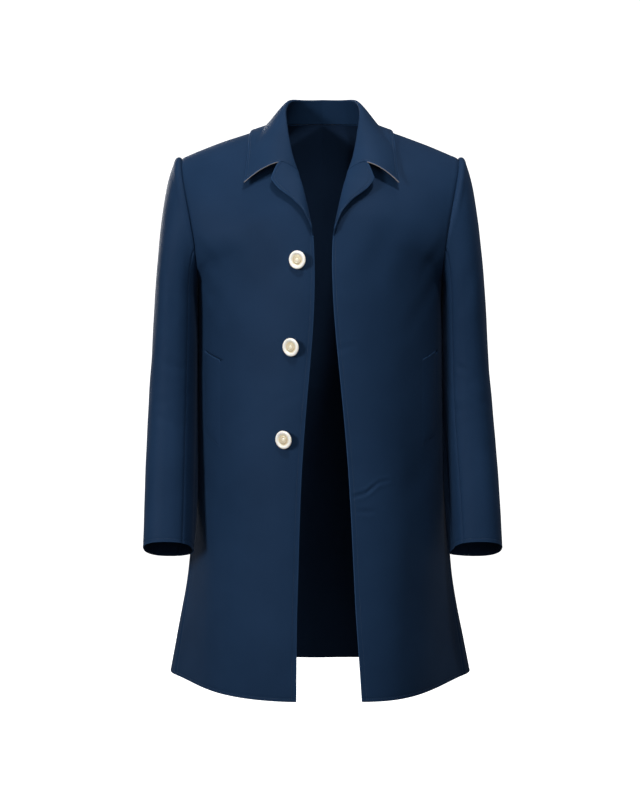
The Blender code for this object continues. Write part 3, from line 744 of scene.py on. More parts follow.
back_shares = stops(0, 1, 78, 0, 0.04)
back_rows = np.concatenate([
    stops(0, BACK_NECK_ROW, 44, 0.25)[:-1],
    np.linspace(BACK_NECK_ROW, UNDERARM_ROW, 50)[:-1],
    stops(UNDERARM_ROW, HEM_ROW, 150, 0, 0.12),
])
back_half = eased_panel(False, back_rows, back_shares)
back_half[back_rows >= BACK_NECK_ROW, 0, 0] = 0
half_facing = normals(back_half, HOLLOW_MIDDLE)
on_middle = back_rows > BACK_NECK_ROW
half_facing[on_middle, 0, 0] = 0
half_facing /= np.linalg.norm(half_facing, axis=-1, keepdims=True)
back_patches = []
for side, _ in SIDES:
    mirror = np.array([side, 1, 1])
    grid = lean(back_half * mirror)
    facing = half_facing * mirror
    from_middle = run_along(grid, 1)
    from_seam = from_middle[:, -1:] - from_middle
    from_shoulder = run_along(grid, 0)
    from_hem = from_shoulder[-1:] - from_shoulder
    relief = sunk_seam(from_seam) + sunk_seam(from_shoulder)
    relief += hanging(grid, BACK_CREASES, from_seam) + stitch_groove(from_hem, BODY_GROOVE)
    beside_arm = between(-grid[..., 2], *BESIDE_ARM)
    relief += SIDE_FULLNESS * beside_arm * hump(from_seam, FULLNESS_FROM_SEAM, FULLNESS_WIDTH)
    at_neck = smooth_step(from_middle, *CLEAR_OF_NECK[0]) + smooth_step(back_rows, *CLEAR_OF_NECK[1])[:, None]
    relief *= np.minimum(at_neck, 1)
    grid = grid + facing * relief[..., None]
    roll = np.zeros(grid.shape[:2])
    roll[-1, :-1] = 1
    measure = np.stack([grid[..., 0], -from_shoulder], axis=-1)
    back_patches.append(turned_in(grid, facing, measure, roll, back_rows, side))
back = sewn_piece("back_cloth", back_patches, BODY_CLOTH)
(left_grid, left_facing, *_), (right_grid, right_facing, *_) = back_patches
at_hem = nearest(from_hem[:, 0], EDGE_STITCH_IN)
hem_line = np.concatenate([right_grid[at_hem, :0:-1], left_grid[at_hem]])[HEM_ENDS:-HEM_ENDS]
hem_facing = np.concatenate([right_facing[at_hem, :0:-1], left_facing[at_hem]])[HEM_ENDS:-HEM_ENDS]
sewing = [stitched("back", hem_line, hem_facing)]
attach(back, "root")
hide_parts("back")

# ---- Sleeves ----
# Two-piece set-in sleeves of the same cloth. The top sleeve is eased into the armhole over a thin roll of
# wadding, which gives the roped head, and the under sleeve closes it along a front and a back seam.

SLEEVE_CLOTH = 0.0016

# Rings of the sleeve, each square to the arm: its centre, half its width and depth, and its forward tilt.
SLEEVE = table("x y z half_width half_depth tilt", [
    (242.4, 8, -285, 36.2, 80, 0),
    (244.7, 10, -340, 37.8, 77, 2),
    (247.5, 8, -400, 39.2, 74, 5),
    (250, 0, -460, 40.5, 70.5, 9),
    (252.4, -12, -520, 41.2, 66.5, 13),
    (254.8, -27, -580, 41.5, 62, 17),
    (257, -43, -640, 41.4, 57.5, 20),
    (259, -62, -702, 41.2, 53, 21.5),
])
SLEEVE_SQUARENESS = 0.82

# The left arm swings a little out from the elbow down.
LEFT_ARM_SWING = 0.0045
ARM_SWING_FROM = -0.40

# Places round the arm, counted as the armhole's rows are, from the underarm up the front and down the back.
FRONT_SLEEVE_SEAM = 2
BACK_SLEEVE_SEAM = 11
ROUND_THE_ARMHOLE = 14
ELBOW_ROUND = 12.8
ELBOW_WIDTH = 0.85

# The roped head, the fuller elbow of the under sleeve and the stitches at the cuff.
HEAD_LEAVES_OVER = 7 / 9
ROPE_HEIGHT = 0.0022
ROPE_WIDTH = 0.0075
ROPE_FROM_SEAM = 0.0095
ROPE_FADES = (4.6, 1.6)
ELBOW_FULLNESS = 0.0065
ELBOW_REACH = (0.235, 0.275, 0.62, 0.78)
SWING_FULLNESS = 0.0060
SLEEVE_GROOVE = 0.0004

# How the sleeve head leaves the armhole seam, from the underarm (0) by way of the shoulder (0.5).
SLEEVE_HEAD = table("share out up forward drop", [
    (0, 2.5, -4, 0, 8),
    (0.1, 5, -2, 1, 20),
    (0.25, 14, 2, 4, 70),
    (0.4, 18, 8, 3, 130),
    (0.5, 19, 13, 0, 165),
    (0.6, 18, 8, -3, 130),
    (0.75, 14, 2, -5, 75),
    (0.9, 5, -2, -2, 20),
    (1, 2.5, -4, 0, 8),
])

# The sleeves crease most at the elbow.
SLEEVE_CREASES = {}
SLEEVE_CREASES["left"] = table("x1 y1 z1 x2 y2 z2 width depth", [
    (225, -62, -395, 252, -78, -410, 6, 1.2),
    (215, -40, -430, 262, -70, -452, 8, 1),
    (222, -60, -475, 275, -60, -455, 9, 1),
    (248, -72, -235, 232, -68, -310, 12, 1.2),
    (270, -40, -300, 284, -10, -430, 22, 1),
    (240, 80, -330, 280, 50, -420, 12, 1.4),
    (235, 75, -420, 285, 40, -470, 10, 1.2),
    (250, 60, -500, 292, 10, -530, 11, 0.9),
    (250, -85, -560, 290, -60, -590, 10, 0.6),
])
SLEEVE_CREASES["right"] = table("x1 y1 z1 x2 y2 z2 width depth", [
    (-222, -60, -405, -262, -76, -388, 9, 1),
    (-218, -45, -440, -270, -66, -462, 9, 1.1),
    (-225, -70, -500, -272, -70, -478, 8, 0.7),
    (-250, -70, -230, -236, -70, -315, 13, 1.2),
    (-272, -40, -280, -282, -5, -420, 22, 1),
    (-240, 80, -340, -280, 48, -425, 12, 1.4),
    (-236, 72, -430, -284, 38, -480, 10, 1.1),
    (-245, 58, -510, -285, 10, -545, 11, 0.9),
])
TOP_SLEEVE_FLAT, TOP_SLEEVE_AREA = (0.250, 0.680), 0.142
UNDER_SLEEVE_FLAT, UNDER_SLEEVE_AREA = (0.140, 0.566), 0.069


def armhole_seam(rounds):
    """The seam from the underarm (0), up the front, over the shoulder (7) and down the back (14)."""
    front = side_of_body(True, np.clip(UNDERARM_ROW - rounds, 0, UNDERARM_ROW))[:, :3]
    back = side_of_body(False, np.clip(rounds - UNDERARM_ROW, 0, UNDERARM_ROW))[:, :3]
    return np.where((rounds <= UNDERARM_ROW)[:, None], front, back)


def sleeve_rings(rounds, rows):
    """Squarish rings about the arm. Each runs round as the armhole seam does."""
    sections = spline(columns(SLEEVE, "x y z half_width half_depth tilt"), rows)
    angle = 2 * np.pi * rounds / ROUND_THE_ARMHOLE
    width = -np.sign(np.cos(angle)) * np.abs(np.cos(angle)) ** SLEEVE_SQUARENESS
    depth = -np.sign(np.sin(angle)) * np.abs(np.sin(angle)) ** SLEEVE_SQUARENESS
    x, y, z, half_width, half_depth, tilt = (value[:, None] for value in sections.T)
    tilted = np.radians(tilt)
    ring_y = y + half_depth * depth * np.cos(tilted)
    ring_z = z - half_depth * depth * np.sin(tilted)
    return np.stack([x + half_width * width, ring_y, ring_z], axis=-1)


def sleeve_cloth(rounds, head_stops, tube_rows):
    """Points of the left sleeve, hanging straight, from the armhole seam to the cuff."""
    seam = armhole_seam(rounds)
    first, second = sleeve_rings(rounds, np.array([0, HEAD_LEAVES_OVER]))
    down = (second - first) / np.linalg.norm(second - first, axis=-1, keepdims=True)
    share = rounds / ROUND_THE_ARMHOLE
    leave = np.stack([np.interp(share, SLEEVE_HEAD["share"], SLEEVE_HEAD[name])
                      for name in ("out", "forward", "up")], axis=-1) * np.array([1, -1, 1])
    drop = np.interp(share, SLEEVE_HEAD["share"], SLEEVE_HEAD["drop"])[:, None]
    head = bezier((seam, seam + leave, first - down * drop, first), head_stops).swapaxes(0, 1)
    return np.concatenate([head, sleeve_rings(rounds, tube_rows)[1:]])


head_stops = stops(0, 1, 60, 0.06, 0, 9)
tube_rows = stops(0, len(SLEEVE["x"]) - 1, 130, 0, 0.12)
top_rounds = stops(FRONT_SLEEVE_SEAM, BACK_SLEEVE_SEAM, 84, 0.20, 0.20)
under_rounds = np.concatenate([
    stops(BACK_SLEEVE_SEAM, ROUND_THE_ARMHOLE, 26, 0.20),
    ROUND_THE_ARMHOLE + stops(0, FRONT_SLEEVE_SEAM, 20, 0, 0.20)[1:],
])
arm_middle = np.array([SLEEVE["x"][2], SLEEVE["y"][2], SLEEVE["z"][2]])
sleeve_parts = (
    ("top_sleeve", top_rounds, arm_middle, TOP_SLEEVE_FLAT, TOP_SLEEVE_AREA),
    ("under_sleeve", under_rounds % ROUND_THE_ARMHOLE, arm_middle + np.array([0.02, 0, 0]), UNDER_SLEEVE_FLAT,
     UNDER_SLEEVE_AREA),
)
for side, arm in SIDES:
    for part, rounds, inside, flat, area in sleeve_parts:
        name = f"{arm}_{part}"
        grid = sleeve_cloth(rounds, head_stops, tube_rows)
        low = smooth_step(grid[..., 2], ARM_SWING_FROM, SLEEVE["z"][-1])
        grid[..., 0] += side * LEFT_ARM_SWING * low
        mirror = np.array([side, 1, 1])
        grid, facing = grid * mirror, normals(grid, inside) * mirror
        from_armhole = run_along(grid, 0)
        from_cuff = from_armhole[-1:] - from_armhole
        across = run_along(grid, 1)
        from_seams = np.minimum(across, across[:, -1:] - across)
        over_shoulder = smooth_step(np.abs(rounds - ROUND_THE_ARMHOLE / 2), *ROPE_FADES)
        relief = ROPE_HEIGHT * hump(from_armhole, ROPE_FROM_SEAM, ROPE_WIDTH) * over_shoulder
        relief += sunk_seam(from_armhole) + sunk_seam(from_seams) + stitch_groove(from_cuff, SLEEVE_GROOVE)
        relief += hanging(grid, SLEEVE_CREASES[arm], from_armhole)
        fuller = between(-grid[..., 2], *ELBOW_REACH)
        fullness = ELBOW_FULLNESS * fuller + (SWING_FULLNESS * low if arm == "left" else 0)
        relief += fullness * hump(rounds, ELBOW_ROUND, ELBOW_WIDTH)
        grid = grid + facing * relief[..., None]
        roll = np.zeros(grid.shape[:2])
        roll[-1, 1:-1] = 1
        measure = np.stack([across * side, -from_armhole], axis=-1)
        piece = sewn_piece(name + "_cloth", [(grid, facing, measure, roll)], SLEEVE_CLOTH)
        row = nearest(from_cuff[:, 3], EDGE_STITCH_IN)
        sewing = [stitched(name, grid[row, 1:-1], facing[row, 1:-1])]
        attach(piece, "root")
        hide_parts(name)

# ---- Collar ----
# A falling collar of the same cloth over canvas. The leaf rolls over the fold and lies on the shoulders, and
# its paler under collar shows as a thin line at the front ends. The stand carries it up from the neckline.

COLLAR_CLOTH = 0.0026
STAND_CLOTH = 0.0022
STAND_ENDS_AT = 6.5
STAND_ABOVE_SEAM = 0.0006
STAND_BELOW_FOLD = 0.0004
COLLAR_GROOVE = 0.0004

# The leaf turns down over a small roll at its fold, and is held clear of the cloth that it lies on.
FOLD_ROLL = 0.0034
FOLD_TURNS = (115, 98, 80, 62, 45, 30, 15)
LEAF_CLEARS = 0.0044
LIES_WITHIN = (0.008, 0.016)
LIES_FROM_COLUMN = 8
LEAF_SOFTNESS = 0.4
EDGE_SMOOTHED_OVER = 8

# The notch is cut into the leaf's front ends, and the under cloth binds them from there to the tip.
NOTCH_FROM_TIP = 0.068
NOTCH_SHARE = 0.33
NOTCH_WIDTH = 0.14
NOTCH_CUT = 0.022

# From the centre back to the gorge, a section for each of the neckline's rows: the fold, where the leaf's
# outer edge lies over the body and how far off it, and how the leaf lifts near its fold, near its edge and
# off the chest.
COLLAR = table("fold_x fold_y fold_z body_row body_share off crown swell lift", [
    (0, 80, 56, -3.55, 0, 6, 14, 7, 0),
    (35, 71, 55, -2.95, 0.2, 7, 13, 7, 0),
    (58, 44, 52, -2.05, 0.24, 6, 11, -2, 0),
    (65.5, 8, 35, -0.2, 0.2, 5, 10, -12, 0),
    (62, -28, 8, 1.2, 0.23, 5, 10, -4, 3),
    (56, -60, -26, 2.3, 0.3, 7, 12, 6, 6),
    (49, -84, -55, 3.1, 0.36, 10, 20, 11, 8),
    (41, -99, -76, 3.5, 0.4, 13, 31, 19, 9),
])
INSIDE_NECK = np.array([0.0, 0.0, 0.02])

# The points round a place on the body, in rows and in its width, that give its normal.
NEAR_ROWS = np.array([-0.05, 0, 0.05])
NEAR_SHARES = np.array([-0.01, 0, 0.01])


def place_on_body(front, row, share):
    """A point of the left half of the body, and its normal."""
    near = half_panel(front, row + NEAR_ROWS, share + NEAR_SHARES)
    return near[1, 1], normals(near, HOLLOW_MIDDLE)[1, 1]


def point_off_body(row, share, off):
    """A point at a distance from the left half of the body. Rows below zero are the back's."""
    point, out = place_on_body(row >= 0, abs(row), share)
    return point + out * off


def both_halves(points):
    """The left half, whose first row is on the middle plane, with its mirror image before it."""
    return np.concatenate([points[:0:-1] * np.array([-1, 1, 1]), points])


navy_collar = gabardine(
    "navy_collar_cloth", (0.0072, 0.0215, 0.0530, 1), (0.0170, 0.0430, 0.0960, 1), 0.56, 0.03)
pale_under_collar = gabardine(
    "pale_under_collar", (0.080, 0.082, 0.098, 1), (0.200, 0.185, 0.185, 1), 0.80, 0.10)

collar_rows = stops(0, 7, 100, 0, 0.25)
fold = spline(columns(COLLAR, "fold_x fold_y fold_z"), collar_rows)
places = spline(columns(COLLAR, "body_row body_share off"), collar_rows)
edge = np.array([point_off_body(*place) for place in places])
whole_edge = both_halves(edge)
window = np.full(2 * EDGE_SMOOTHED_OVER + 1, 1 / (2 * EDGE_SMOOTHED_OVER + 1))
for _ in range(3):
    before = 2 * whole_edge[:1] - whole_edge[EDGE_SMOOTHED_OVER:0:-1]
    after = 2 * whole_edge[-1:] - whole_edge[-2:-EDGE_SMOOTHED_OVER - 2:-1]
    beyond = np.concatenate([before, whole_edge, after])
    whole_edge = np.stack([np.convolve(line, window, "valid") for line in beyond.T], axis=-1)
edge = whole_edge[len(edge) - 1:]
crown, swell, lift = spline(columns(COLLAR, "crown swell lift"), collar_rows).T
leaving = fold + (edge - fold) / 3 + np.stack([0 * lift, -lift, crown], axis=-1)
arriving = fold + (edge - fold) * 2 / 3 + np.stack([0 * lift, -lift, swell], axis=-1)
leaf_shares = stops(0, 1, 40, 0, 0.08)
leaf = bezier((fold, leaving, arriving, edge), leaf_shares)
for column, share in enumerate(leaf_shares):
    shorter = 1 - NOTCH_CUT * hump(share, NOTCH_SHARE, NOTCH_WIDTH) * smooth_step(collar_rows, 4, 7)
    for axis in range(3):
        leaf[:, column, axis] = np.interp(collar_rows * shorter, collar_rows, leaf[:, column, axis])
body_points, body_faces = [], []
for front in (True, False):
    under = half_panel(front, np.linspace(0, 6, 50), np.linspace(0, 1, 40))
    body_faces += quads_of(under, under - HOLLOW_MIDDLE, len(body_points)).tolist()
    body_points += under.reshape(-1, 3).tolist()
body_below = BVHTree.FromPolygons(body_points, body_faces)
over_body = leaf[:, LIES_FROM_COLUMN:].reshape(-1, 3)
for number, point in enumerate(over_body):
    near, out, _, distance = body_below.find_nearest(Vector(point))
    clear = (Vector(point) - near).dot(out)
    lying = 1 - smooth_step(distance, *LIES_WITHIN)
    over_body[number] = Vector(point) + out * max(0.0, LEAF_CLEARS - clear) * lying
leaf[:, LIES_FROM_COLUMN:] = over_body.reshape(len(leaf), -1, 3)
leaf_facing = normals(both_halves(leaf), HOLLOW_MIDDLE)[len(fold) - 1:]
over = leaf[:, 1] - leaf[:, 0]
over /= np.linalg.norm(over, axis=-1, keepdims=True)
out_of_fold = leaf_facing[:, 0]
turns = np.radians(FOLD_TURNS)
roll_middle = fold - out_of_fold * FOLD_ROLL
rolled = [roll_middle + FOLD_ROLL * (out_of_fold * np.cos(turn) - over * np.sin(turn)) for turn in turns]
leaf = np.concatenate([np.stack(rolled, 1), leaf], axis=1)
whole_leaf = lean(both_halves(leaf))
facing = normals(whole_leaf, HOLLOW_MIDDLE)
leaf_run = run_along(whole_leaf, 1)
from_outer = leaf_run[:, -1:] - leaf_run
round_neck = run_along(whole_leaf, 0)
from_ends = np.minimum(round_neck, round_neck[-1:] - round_neck)
groove = np.minimum(stitch_groove(from_outer, COLLAR_GROOVE), stitch_groove(from_ends, COLLAR_GROOVE))
whole_leaf = whole_leaf + facing * (LEAF_SOFTNESS * softness(whole_leaf) + groove)[..., None]
roll = np.zeros(whole_leaf.shape[:2])
roll[:, -1] = 1
past_notch = from_outer[0] < NOTCH_FROM_TIP
roll[0, past_notch] = roll[-1, past_notch] = 2
measure = np.stack([round_neck, -leaf_run], axis=-1)
collar_leaf = sewn_piece("collar_leaf_cloth", [(whole_leaf, facing, measure, roll)], COLLAR_CLOTH,
                         (navy_collar, pale_under_collar), bound=pale_under_collar)
column = nearest(from_outer[len(fold)], EDGE_STITCH_IN)
first = nearest(from_ends[: len(fold), 30], EDGE_STITCH_IN)
edge_run = slice(first, len(whole_leaf) - first)
sewing = [stitched("collar_leaf", whole_leaf[edge_run, column], facing[edge_run, column])]
for row in (first, len(whole_leaf) - 1 - first):
    sewing.append(stitched("collar_leaf", whole_leaf[row, 12:column], facing[row, 12:column]))
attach(collar_leaf, "root")
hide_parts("collar_leaf")

standing = collar_rows <= STAND_ENDS_AT
foot = middle_of_body(True, collar_rows[standing] - BACK_NECK_ROW)[:, :3] + np.array([0, 0, STAND_ABOVE_SEAM])
inward = (fold[standing] - foot) * np.array([1, 1, 0])
inward /= np.linalg.norm(inward, axis=-1, keepdims=True)
foot = foot + inward * COLLAR_CLOTH
top = leaf[standing, 0] - np.array([0, 0, STAND_BELOW_FOLD])
stand = foot[:, None] + (top - foot)[:, None] * np.linspace(0, 1, 14)[None, :, None]
whole_stand = lean(both_halves(stand))
facing = -normals(whole_stand, INSIDE_NECK)
measure = np.stack([run_along(whole_stand, 0), run_along(whole_stand, 1)], axis=-1)
roll = np.zeros(whole_stand.shape[:2])
collar_stand = sewn_piece("collar_stand_cloth", [(whole_stand, facing, measure, roll)], STAND_CLOTH,
                          (navy_collar, navy_collar))
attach(collar_stand, "root")
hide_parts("collar_stand")

# ---- Lapels ----
# The turned-back top of each front, with the facing outward. It rolls softly from the break, has a rounded
# tip under the notch, and is sewn to the collar along the gorge.

# Each row: the row of the front edge it turns back from, its outer edge, and how far it rolls forward.
LAPEL = table("row edge_x edge_y edge_z lift", [
    (4, 64, -106, -68, 6),
    (4.3, 83, -115, -89.5, 7),
    (4.62, 70, -127, -107.5, 7),
    (5.1, 49, -137, -124, 7),
    (5.6, 31.5, -145, -144, 6),
    (6.12, 20.5, -150, -168, 4),
    (6.42, 17.2, -150.5, -187, 2),
])
LAPEL_SEAT = 0.0010
TIP_CRISPNESS = 0.65
GORGE_GAP = 0.0006
GORGE_ROWS = 1.1
LAPEL_SOFTNESS = 0.3

# The foot narrows and sinks into the front edge, where the roll ends.
FADES_FROM = 5.1
FOOT_WIDTH = 0.0018
FOOT_SINKS = 0.0014

lapel_rows = np.linspace(0, 6, 70)
roll_line = middle_of_body(True, spline(LAPEL["row"], lapel_rows))[:, :3] - np.array([0, LAPEL_SEAT, 0])
edge_points = columns(LAPEL, "edge_x edge_y edge_z")
outer_edge = spline(edge_points, lapel_rows)
straight_edge = np.stack([np.interp(lapel_rows, np.arange(7), values) for values in edge_points.T], axis=-1)
outer_edge += (straight_edge - outer_edge) * TIP_CRISPNESS
into_edge = smooth_step(lapel_rows, FADES_FROM, 6)[:, None]
outer_edge += (roll_line + np.array([FOOT_WIDTH, 0, 0]) - outer_edge) * into_edge
lift = spline(LAPEL["lift"], lapel_rows)[:, None] * (1 - into_edge)
forward = lift * np.array([0, -1, 0])
lapel = bezier((roll_line, roll_line + forward, (roll_line + 2 * outer_edge) / 3 + forward, outer_edge),
               stops(0, 1, 30, 0, 0.12))
gorge = leaf[-1, len(turns): len(turns) + nearest(leaf_shares, NOTCH_SHARE) + 1]
gorge_run = run_along(gorge[None], 1)[0]
lapel_run = run_along(lapel[:1], 1)[0]
joined = [np.interp(lapel_run / lapel_run[-1], gorge_run / gorge_run[-1], values) for values in gorge.T]
joined = np.stack(joined, axis=-1) - np.array([0, 0, GORGE_GAP])
lapel += (joined - lapel[0]) * (1 - smooth_step(lapel_rows, 0, GORGE_ROWS))[:, None, None]
lapel[..., 1] += FOOT_SINKS * into_edge
for side, arm in SIDES:
    name = f"{arm}_lapel"
    grid = lean(lapel * np.array([side, 1, 1]))
    facing = normals(grid, HOLLOW_MIDDLE)
    across = run_along(grid, 1)
    from_outer = across[:, -1:] - across
    relief = stitch_groove(from_outer, COLLAR_GROOVE) + LAPEL_SOFTNESS * softness(grid)
    grid = grid + facing * relief[..., None]
    roll = np.zeros(grid.shape[:2])
    roll[:, 0] = roll[:, -1] = roll[-1] = 1
    measure = np.stack([across * side, -run_along(grid, 0)], axis=-1)
    piece = sewn_piece(name + "_cloth", [(grid, facing, measure, roll)], COLLAR_CLOTH,
                       (navy_collar, navy_collar))
    sewn = [k for k in range(6, len(grid) - 6) if from_outer[k, 0] > 2.2 * EDGE_STITCH_IN]
    places = [nearest(from_outer[k], EDGE_STITCH_IN) for k in sewn]
    sewing = [stitched(name, grid[sewn, places], facing[sewn, places])]
    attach(piece, "root")
    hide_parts(name)

# ---- Pocket welts ----
# A stitched-down welt of the coat's cloth on each front, standing off the side of the body by its own
# thickness. Its slanted upper end shows beside the sleeve, and the rest turns away round the hip.

WELT_CLOTH = 0.0014
WELT_LENGTH = 0.152
WELT_FOOT_FROM_EDGE = 0.152
SEATED_OFF = 0.0003

# The rim sinks towards the cloth below, but for the slanted upper end.
WELT_SINKS = 0.0018
WELT_SINKS_OVER = 0.011


def front_point(z, from_edge):
    """A point of the left front and its normal, for a height at the front edge and a distance along."""
    row = np.interp(-z, -FRONT_EDGE["z"][UNDERARM_ROW:], np.arange(UNDERARM_ROW, HEM_ROW + 1))
    shares = np.linspace(0, 1, 81)
    strip = half_panel(True, row + NEAR_ROWS, shares)
    return place_on_body(True, row, np.interp(from_edge, run_along(strip, 1)[1], shares))


falls, reaches = stops(0, 1, 30, 0.04, 0.04, 4), stops(0, 1, 12, 0.08, 0.08, 4)
seat = np.empty((len(falls), len(reaches), 3))
seat_facing = np.empty_like(seat)
for i, fall in enumerate(falls):
    front_side = WELT_TOP_FROM_EDGE + (WELT_FOOT_FROM_EDGE - WELT_TOP_FROM_EDGE) * fall
    for j, reach in enumerate(reaches):
        height = WELT_TOP - WELT_LENGTH * fall + WELT_RISE * reach
        seat[i, j], seat_facing[i, j] = front_point(height, front_side + WELT_WIDTH * reach)
for side, arm in SIDES:
    name = f"{arm}_welt"
    grid = lean((seat + seat_facing * (SEATED_OFF + WELT_CLOTH)) * np.array([side, 1, 1]))
    facing = normals(grid, HOLLOW_MIDDLE)
    across, down = run_along(grid, 1), run_along(grid, 0)
    from_sunk_rim = np.minimum(np.minimum(across, across[:, -1:] - across), down[-1:] - down)
    relief = softness(grid) - WELT_SINKS * np.exp(-from_sunk_rim / WELT_SINKS_OVER)
    grid = grid + facing * relief[..., None]
    roll = np.ones(grid.shape[:2])
    measure = np.stack([across * side + 0.3, -down], axis=-1)
    piece = sewn_piece(name + "_cloth", [(grid, facing, measure, roll)], WELT_CLOTH)
    sewing = [stitched(name, grid[row, 2:-2], facing[row, 2:-2]) for row in (2, -3)]
    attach(piece, "root")
    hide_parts(name)

# ---- Buttons ----
# Three turned shank buttons on the right front, of polished pale ivory casein: a broad rim, a sunken ring
# tinted tan, and a low, plain centre. Each is sewn on by its shank, and tilts a little on its thread.

BUTTONS = table("z from_edge", [(-219.4, 25.5), (-364, 30), (-513.6, 29)])
BUTTON_PROFILE = table("radius height", [
    (0, 8.7), (1.8, 8.7), (3, 8.5), (3.6, 8), (4.1, 8), (4.7, 8.3), (5.5, 8.2), (6.1, 7.6), (7, 7.4),
    (8.8, 7.4), (9.6, 7.7), (10.2, 8.3), (11.2, 8.7), (12.4, 8.8), (13.6, 8.6), (14.4, 8.1),
    (14.8, 7.4), (14.8, 6.6), (14.4, 5.9), (13, 5.1), (6, 3.9), (3, 3.4), (2.4, 2.8), (2.4, 0), (0, 0),
])
BUTTON_STEPS = 72
BUTTON_TILT = 21
BUTTON_TILT_ABOUT = (-0.33, 0.0, 0.944)
BUTTON_SHARP_TURN = 60

# Colours of the casein and of the tan worked into the ring, by the share of the radius.
BUTTON_RINGS = (
    (0.00, (0.86, 0.78, 0.62, 1)), (0.20, (0.85, 0.77, 0.60, 1)), (0.27, (0.56, 0.43, 0.25, 1)),
    (0.33, (0.80, 0.72, 0.57, 1)), (0.42, (0.58, 0.45, 0.27, 1)), (0.56, (0.74, 0.64, 0.46, 1)),
    (0.66, (0.89, 0.85, 0.76, 1)), (0.80, (0.93, 0.91, 0.86, 1)), (1.00, (0.88, 0.83, 0.74, 1)),
)


def polished_casein(name):
    """Polished pale casein, clouded like mother-of-pearl, with tan worked into the sunken ring."""
    material, tree, shader = new_finish(name, {
        "Roughness": 0.22, "Coat Weight": 0.45, "Coat Roughness": 0.08,
        "Thin Film Thickness": 380, "Thin Film IOR": 1.45,
        "Subsurface Weight": 0.12, "Subsurface Radius": (0.004, 0.003, 0.002), "Subsurface Scale": 0.5,
    })
    out = add_node(tree, "ShaderNodeAttribute", "Fac", attribute_name="radius")
    tan = add_node(tree, "ShaderNodeValToRGB", "Color", {"Fac": out})
    ramp = tan.node.color_ramp.elements
    while len(ramp) < len(BUTTON_RINGS):
        ramp.new(0.5)
    for element, (at, colour) in zip(ramp, BUTTON_RINGS):
        element.position, element.color = at, colour
    place = add_node(tree, "ShaderNodeTexCoord", "Object")
    cloud = add_node(tree, "ShaderNodeTexNoise", "Fac",
                     {"Vector": place, "Scale": 260, "Detail": 5, "Distortion": 1.2})
    wire(tree, shader, {"Base Color": mixed(tree, 0.55, tan, cloud, "SOFT_LIGHT")})
    return material


ivory = polished_casein("ivory_button")
radius, height = BUTTON_PROFILE["radius"], BUTTON_PROFILE["height"]
angle = np.linspace(0, 2 * np.pi, BUTTON_STEPS, endpoint=False)
rings = np.stack([radius[1:-1, None] * np.cos(angle), radius[1:-1, None] * np.sin(angle),
                  height[1:-1, None] + 0 * angle], axis=-1).reshape(-1, 3)
turned = np.concatenate([rings, [[0, 0, height[0]], [0, 0, height[-1]]]])
across = np.arange(BUTTON_STEPS)
ahead = np.roll(across, -1)
last = (len(radius) - 3) * BUTTON_STEPS
faces = []
for near in range(0, last, BUTTON_STEPS):
    far = near + BUTTON_STEPS
    faces += np.stack([near + across, far + across, far + ahead, near + ahead], axis=1).tolist()
faces += [(len(rings), a, b) for a, b in zip(across, ahead)]
faces += [(len(rings) + 1, last + b, last + a) for a, b in zip(across, ahead)]
spread = np.linalg.norm(turned[:, :2], axis=1) / radius.max()
tilt = Quaternion(BUTTON_TILT_ABOUT, math.radians(-BUTTON_TILT))
mirror = np.array([-1, 1, 1])
for number, (z, from_edge) in enumerate(zip(BUTTONS["z"], BUTTONS["from_edge"]), 1):
    point, out = front_point(z, from_edge)
    out = Vector(out * mirror)
    turn = np.array((tilt @ out.to_track_quat("Z", "Y")).to_matrix())
    mesh = bpy.data.meshes.new(f"button_{number}_turned")
    mesh.from_pydata(turned @ turn.T + lean(point * mirror) + np.array(out) * SEATED_OFF, [], faces)
    mesh.attributes.new("radius", "FLOAT", "POINT").data.foreach_set("value", spread.astype(np.float32))
    mesh.materials.append(ivory)
    mesh.shade_smooth()
    mesh.set_sharp_from_angle(angle=math.radians(BUTTON_SHARP_TURN))
    button = placed(f"button_{number}_turned", mesh)
    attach(button, "root")
    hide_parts(f"button_{number}")

# ---- Studio ----
# A pale, self-lit cove all round that casts no light of its own on the cloth, a broad soft key from the left,
# a smaller light over the chest, weak ones above and behind, and the camera at waist height, looking down.

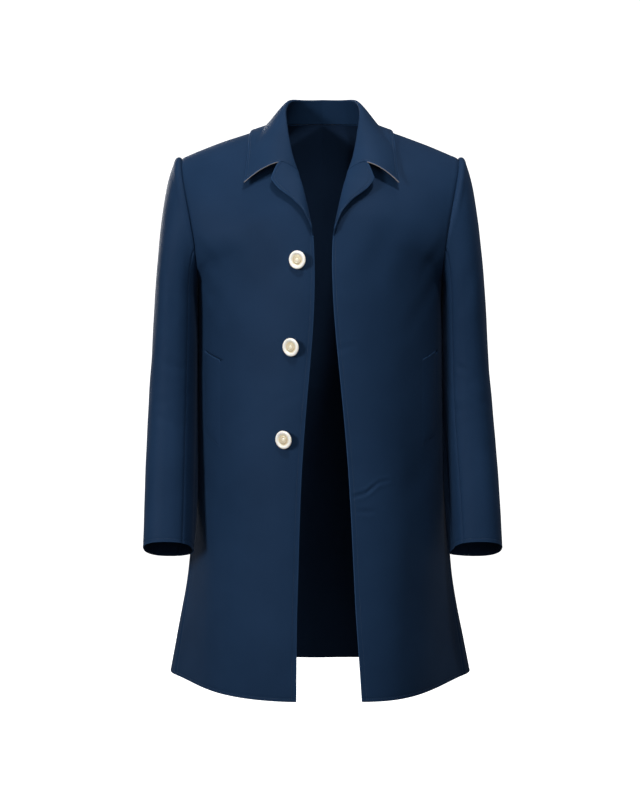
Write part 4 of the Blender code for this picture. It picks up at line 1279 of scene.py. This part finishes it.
COVE = ((4.2, -1.45), (4.8, -1.30), (5.2, -0.90), (5.3, -0.30), (5.3, 5.0))
COVE_SIDES = 64
cove_points = [(0.0, 0.0, COVE[0][1])]
for radius, z in COVE:
    cove_points += [(radius * math.cos(angle), radius * math.sin(angle), z)
                    for angle in np.linspace(0, 2 * np.pi, COVE_SIDES, endpoint=False)]
cove_faces = [(0, 1 + k, 1 + (k + 1) % COVE_SIDES) for k in range(COVE_SIDES)]
for first in range(1, 1 + (len(COVE) - 1) * COVE_SIDES, COVE_SIDES):
    for k in range(COVE_SIDES):
        beside = (k + 1) % COVE_SIDES
        cove_faces.append((first + k, first + COVE_SIDES + k, first + COVE_SIDES + beside, first + beside))
cove_mesh = bpy.data.meshes.new("pale_cove")
cove_mesh.from_pydata(cove_points, [], cove_faces)
cove_mesh.shade_smooth()
pale_paper, *_ = new_finish("pale_paper", {
    "Base Color": (0.80, 0.80, 0.80, 1), "Roughness": 1.0,
    "Emission Color": (1, 1, 1, 1), "Emission Strength": 0.96,
})
cove_mesh.materials.append(pale_paper)
cove = placed("pale_cove", cove_mesh)
cove.visible_diffuse = cove.visible_glossy = False

# Each light: where it stands, what it faces, its size and its power.
LIGHTS = (
    ("key_light", (-2.4, -2.5, 0.5), (0.0, -0.1, -0.40), 0.6, 80),
    ("chest_light", (0.25, -1.15, 1.45), (0.05, -0.1, -0.12), 0.2, 21),
    ("front_light", (0.4, -3.3, 0.3), (0.0, -0.1, -0.40), 1.2, 14),
    ("top_light", (0.25, -0.1, 2.2), (0.0, 0.0, -0.20), 1.3, 17),
    ("back_light", (-1.5, 3.0, 0.6), (0.0, 0.0, -0.40), 1.6, 60),
)
for name, place, target, size, power in LIGHTS:
    lamp = bpy.data.lights.new(name, "AREA")
    lamp.size = size
    lamp.energy = power
    light = placed(name, lamp)
    light.location = place
    light.rotation_euler = (Vector(target) - Vector(place)).to_track_quat("-Z", "Y").to_euler()
    light.visible_camera = False

world = bpy.data.worlds.new("studio_air")
world.use_nodes = True
wire(world.node_tree, world.node_tree.nodes["Background"], {"Color": (1, 1, 1, 1), "Strength": 0.16})
bpy.context.scene.world = world
bpy.context.scene.view_settings.view_transform = "Standard"

LOOKS_DOWN = 3.6
eye = bpy.data.cameras.new("eye")
eye.sensor_fit = "VERTICAL"
eye.sensor_height = 36
eye.sensor_width = 36
eye.lens = 74.8
camera = placed("eye", eye)
camera.location = (0, -2.86, -0.287)
camera.rotation_euler = (math.radians(90 - LOOKS_DOWN), 0, 0)
bpy.context.scene.camera = camera
